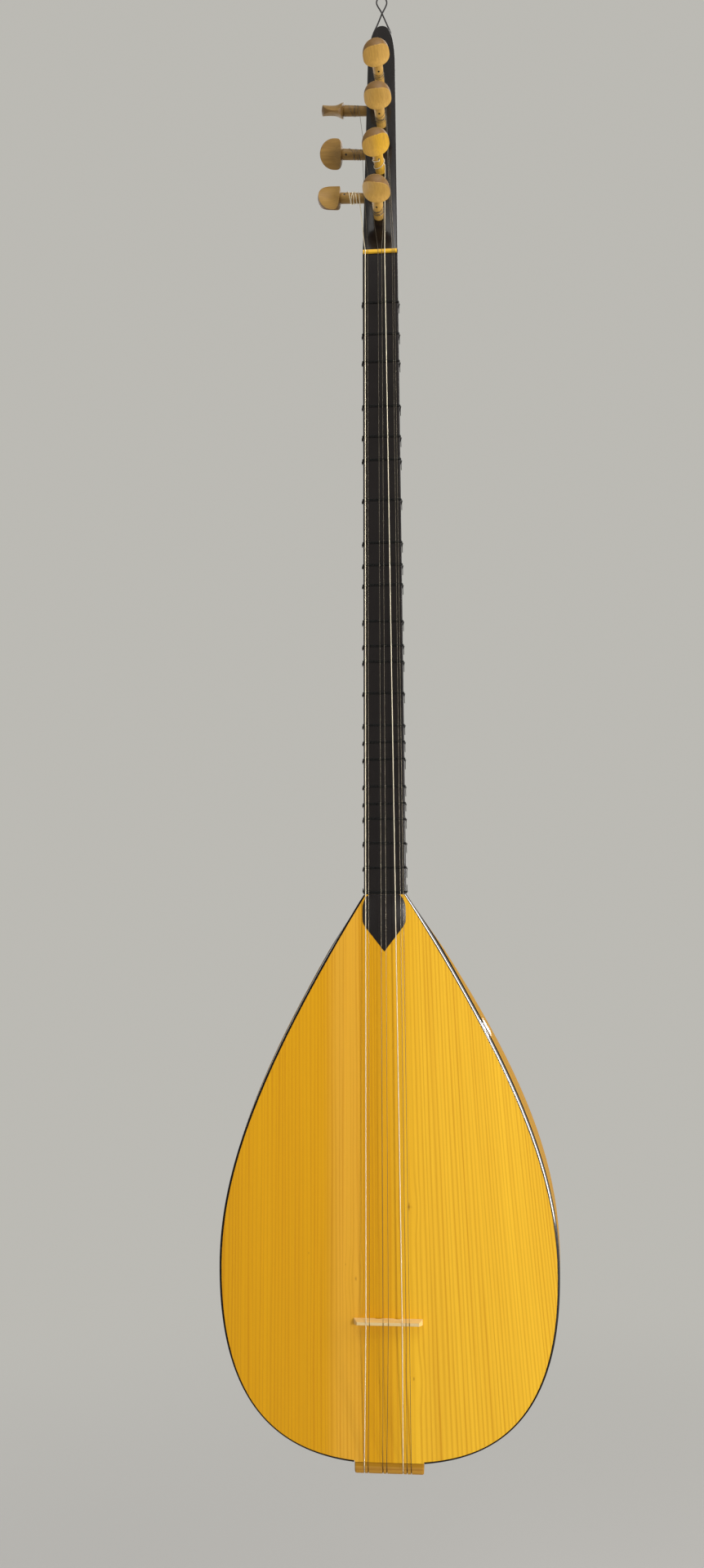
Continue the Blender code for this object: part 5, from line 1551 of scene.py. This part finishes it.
class BAGLAMA_OT_tail(bpy.types.Operator):
    """Hardwood block over the bowl's end, grooved for the strings"""

    bl_idname = "baglama.tail"
    bl_label = "Tail block"

    ROUND = 0.0035
    EASE = 0.0013
    GROOVE = 0.0010

    def execute(self, context):
        size = sizes()
        shade = colours()
        tail = -(size.neck_length + size.board_length)
        end = tail - SEAT_GAP - size.tail_reach
        half = size.tail_half
        rings = []
        for i in range(9):
            turn = math.pi / 2 * i / 8
            x, inset = -half + self.EASE * (1 - math.cos(turn)), self.EASE * (1 - math.sin(turn))
            rings.append(self.section(end, tail + 0.020, x, inset))
        rings += [[(-x, y, z) for x, y, z in ring] for ring in reversed(rings)]
        bm = bmesh.new()
        skin(bm, [[NUT_LINE + Vector(point) for point in ring] for ring in rings])
        point_outwards(bm)
        finish = wood_finish("tail_hardwood", shade.tail, (0.28, 0.115, 0.014), 0.45, 0, 0.0026, 0.9, 0.06, 0.15,
                             (2, NUT_Z + end + 0.0060, NUT_Z + end + 0.0064, (0.36, 0.165, 0.004)))
        piece = new_piece("tail_hardwood_block", bm, finish, ROOT, ("tail_block",), 30.0)
        tools = [self.board_seat(), self.bowl_seat()]
        for _, wound, _, _, at_tail, _ in STRINGS:
            x = at_tail * half
            width = (size.wound_string if wound else size.plain_string) + 0.0004
            profile = self.groove(end)
            tools.append(form_tool([
                [NUT_LINE + Vector((x + side * width / 2, y, z)) for y, z in profile] for side in (-1, 1)
            ]))
            low = NUT_LINE + Vector((x - 0.0011, size.tail_depth - 0.006, end - 0.0012))
            tools.append(block_tool(low, NUT_LINE + Vector((x + 0.0011, size.tail_depth + 0.003, end + 0.0026))))
        carve(piece, tools, 30.0)
        return {"FINISHED"}

    def section(self, end, top, x, inset):
        """The block's outline from its face over the rounded lower edge to its back, drawn in by a little."""
        front, low, back = inset * 0.5, end + inset, sizes().tail_depth - inset
        points = [(x, front, top)]
        for i in range(13):
            angle = math.pi / 2 * i / 12
            points.append((x, front + self.ROUND * (1 - math.cos(angle)), low + self.ROUND * (1 - math.sin(angle))))
        for i in range(7):
            angle = math.pi / 2 * i / 6
            points.append((x, back - self.EASE * (1 - math.sin(angle)), low + self.EASE * (1 - math.cos(angle))))
        return points + [(x, back, top)]

    def groove(self, end):
        outside, reach = self.ROUND, self.ROUND - self.GROOVE
        points = [(-outside, end - outside), (-outside, end + outside + 0.0030), (0.0, end + outside + 0.0030)]
        for i in range(9):
            angle = math.pi / 2 * i / 8
            points.append((outside - reach * math.cos(angle), end + outside - reach * math.sin(angle)))
        back = sizes().tail_depth + outside
        return points + [(back, end + self.GROOVE), (back, end - outside)]

    def board_seat(self):
        size = sizes()
        right = [(x, -size.neck_length - along) for x, along in board_half_outline(SEAT_GAP) if along > 0.13]
        outline = right + [(-x, z) for x, z in reversed(right[:-1])]
        return form_tool([
            [NUT_LINE + Vector((x, y, z)) for x, z in outline] for y in (-0.005, size.board_thick + SEAT_GAP)
        ])

    def bowl_seat(self):
        size = sizes()
        rim = size.board_thick
        tail = size.board_length + size.binding + 2 * SEAT_GAP
        stations = [0.22 + (size.board_widest - 0.22) * i / 5 for i in range(5)]
        stations += [
            size.board_widest + (tail - size.board_widest) * math.sin(math.radians(90.0 * i / 32.4)) for i in range(32)
        ]
        rings = [bowl_ring(along, SEAT_GAP, rim, 8, 40) for along in stations]
        return form_tool(rings, NUT_LINE + Vector((0, rim, -size.neck_length - tail)))


class BAGLAMA_OT_loop(bpy.types.Operator):
    """Thin cord through the head's tip that the instrument hangs by"""

    bl_idname = "baglama.loop"
    bl_label = "Hanging cord"

    def execute(self, context):
        size = sizes()
        width = size.cord
        along = size.head_length - 0.0047
        half, depth = head_size(along)
        foot = head_point(0.0, -depth / 2, along)
        crossing, height, eye = 0.022, 0.041, 0.0048
        aside = width * 0.65
        one = [
            (half * 0.5, 0.0, 0.0), (half, 0.0, 0.0), (half + width * 0.8, 0.0, width * 1.2),
            (half * 0.62, -aside, crossing * 0.5), (0.0, -aside, crossing),
            (-eye, -aside * 0.5, height - eye * 1.6),
        ]
        other = [(-x, -y, z) for x, y, z in one]
        points = [(0.0003, 0.0, 0.0)] + one + [(0.0, 0.0, height)] + list(reversed(other)) + [(-0.0003, 0.0, 0.0)]
        route = smooth_route([foot + Vector(point) for point in points], width * 0.5)
        bm = bmesh.new()
        tube(bm, route, width / 2, 12)
        point_outwards(bm)
        piece = new_piece("hanging_cord_loop", bm, cord_finish(), ROOT, ("hanging_loop",), 60.0)
        run = sum((b - a).length for a, b in zip(route, route[1:]))
        return {"FINISHED"}


class BAGLAMA_OT_stage(bpy.types.Operator):
    """Pale floor, soft lamps and the camera in front of the instrument"""

    bl_idname = "baglama.stage"
    bl_label = "Stage"

    def execute(self, context):
        self.make_floor()
        self.make_lights()
        self.make_camera()
        context.scene.view_settings.view_transform = "Standard"
        return {"FINISHED"}

    def make_floor(self):
        """A pale floor that passes into the background's colour away from the instrument."""
        bpy.ops.mesh.primitive_plane_add(size=60.0)
        floor = bpy.context.active_object
        floor.name = "studio_floor"
        floor.data.transform(Matrix.Translation((0, 0, CAD_BOX[0].z - 0.45)))
        made = Finish("studio_floor", roughness=0.85, specular=0.0)
        spot, x, y, _ = made.place()
        tone = made.noise(spot, 3.0, 2.0)
        far = (x * x + y * y).power(0.5).span(0.5, 1.9)
        shade = colours()
        near = made.mix(tone * 0.25, shade.floor, tuple(c * 0.95 for c in shade.floor))
        made.shader.inputs["Emission Strength"].default_value = 1.0
        floor.data.materials.append(made.paint(
            Base_Color=made.mix(far, near, (0.0, 0.0, 0.0)),
            Emission_Color=made.mix(far, (0.0, 0.0, 0.0), shade.backdrop),
        ))

    def make_lights(self):
        centre = Vector((0.0, 0.0, -0.75))
        lamps = (
            ("key", (1.02, -1.56, -0.80), 0.28, 0.36, 17.0, (1.0, 0.975, 0.93)),
            ("top", (0.35, -1.45, 1.25), 1.0, 0.8, 17.0, (1.0, 0.985, 0.95)),
            ("fill", (-1.9, -2.2, -0.5), 2.2, 2.8, 9.0, (0.95, 0.97, 1.0)),
            ("side", (2.3, -0.65, -0.25), 0.24, 2.3, 34.0, (1.0, 0.98, 0.985)),
            ("rim", (1.1, 1.5, 1.7), 1.6, 1.6, 24.0, (1.0, 0.98, 0.95)),
            ("back", (-1.6, 2.2, -0.3), 2.0, 2.6, 28.0, (0.97, 0.98, 1.0)),
            ("window", (0.665, 2.26, -0.904), 0.042, 0.052, 0.16, (1.0, 1.0, 1.0)),
        )
        for name, place, wide, tall, power, tint in lamps:
            data = bpy.data.lights.new(name, "AREA")
            data.shape = "RECTANGLE"
            data.size, data.size_y = wide, tall
            data.energy = power
            data.color = tint
            lamp = bpy.data.objects.new(name, data)
            bpy.context.scene.collection.objects.link(lamp)
            lamp.location = place
            lamp.rotation_euler = (centre - Vector(place)).to_track_quat("-Z", "Y").to_euler()
        world = bpy.data.worlds.new("studio")
        bpy.context.scene.world = world
        world.use_nodes = True
        tree = world.node_tree
        tree.nodes.clear()
        out = tree.nodes.new("ShaderNodeOutputWorld")
        seen = tree.nodes.new("ShaderNodeBackground")
        seen.inputs["Color"].default_value = (*colours().backdrop, 1.0)
        glow = tree.nodes.new("ShaderNodeBackground")
        glow.inputs["Color"].default_value = (0.97, 0.98, 1.0, 1.0)
        glow.inputs["Strength"].default_value = 0.18
        path = tree.nodes.new("ShaderNodeLightPath")
        direct = tree.nodes.new("ShaderNodeMath")
        direct.operation = "MAXIMUM"
        shown = tree.nodes.new("ShaderNodeMath")
        shown.operation = "MAXIMUM"
        blend = tree.nodes.new("ShaderNodeMixShader")
        tree.links.new(path.outputs["Is Camera Ray"], direct.inputs[0])
        tree.links.new(path.outputs["Is Glossy Ray"], direct.inputs[1])
        tree.links.new(direct.outputs[0], shown.inputs[0])
        tree.links.new(path.outputs["Is Transmission Ray"], shown.inputs[1])
        tree.links.new(shown.outputs[0], blend.inputs[0])
        tree.links.new(glow.outputs[0], blend.inputs[1])
        tree.links.new(seen.outputs[0], blend.inputs[2])
        tree.links.new(blend.outputs[0], out.inputs[0])

    def make_camera(self):
        data = bpy.data.cameras.new("camera")
        camera = bpy.data.objects.new("camera", data)
        bpy.context.scene.collection.objects.link(camera)
        yaw, pitch, roll = (math.radians(angle) for angle in (-4.5, 6.645, -0.256))
        ahead = Vector((math.sin(yaw) * math.cos(pitch), math.cos(yaw) * math.cos(pitch), math.sin(pitch)))
        level = ahead.cross(Vector((0, 0, 1))).normalized()
        lift = level.cross(ahead)
        right = level * math.cos(roll) + lift * math.sin(roll)
        up = lift * math.cos(roll) - level * math.sin(roll)
        turn = Matrix((right, up, -ahead)).transposed().to_4x4()
        camera.matrix_world = Matrix.Translation(NUT_LINE + Vector((0.0489, -0.9550, -0.5717))) @ turn
        data.lens = 1443.0 * 36.0 / 1920.0
        data.sensor_width = 36.0
        bpy.context.scene.camera = camera


class BAGLAMA_PT_panel(bpy.types.Panel):
    """Lists the pieces that can be built"""

    bl_idname = "BAGLAMA_PT_panel"
    bl_label = "Baglama"
    bl_space_type = "VIEW_3D"
    bl_region_type = "UI"
    bl_category = "Baglama"

    def draw(self, context):
        for piece in OPERATORS:
            self.layout.operator(piece.bl_idname)


OPERATORS = (
    BAGLAMA_OT_stage, BAGLAMA_OT_loop, BAGLAMA_OT_neck, BAGLAMA_OT_soundboard, BAGLAMA_OT_bowl, BAGLAMA_OT_frets,
    BAGLAMA_OT_pegs, BAGLAMA_OT_strings, BAGLAMA_OT_bridge, BAGLAMA_OT_tail,
)
CLASSES = (BaglamaSizes, BaglamaColours, *OPERATORS, BAGLAMA_PT_panel)


def register():
    for item in CLASSES:
        bpy.utils.register_class(item)
    bpy.types.Scene.baglama_sizes = PointerProperty(type=BaglamaSizes)
    bpy.types.Scene.baglama_colours = PointerProperty(type=BaglamaColours)


def unregister():
    del bpy.types.Scene.baglama_colours
    del bpy.types.Scene.baglama_sizes
    for item in reversed(CLASSES):
        bpy.utils.unregister_class(item)


def main():
    register()
    for piece in OPERATORS:
        family, action = piece.bl_idname.split(".")
        getattr(getattr(bpy.ops, family), action)()


if __name__ == "__main__":
    main()
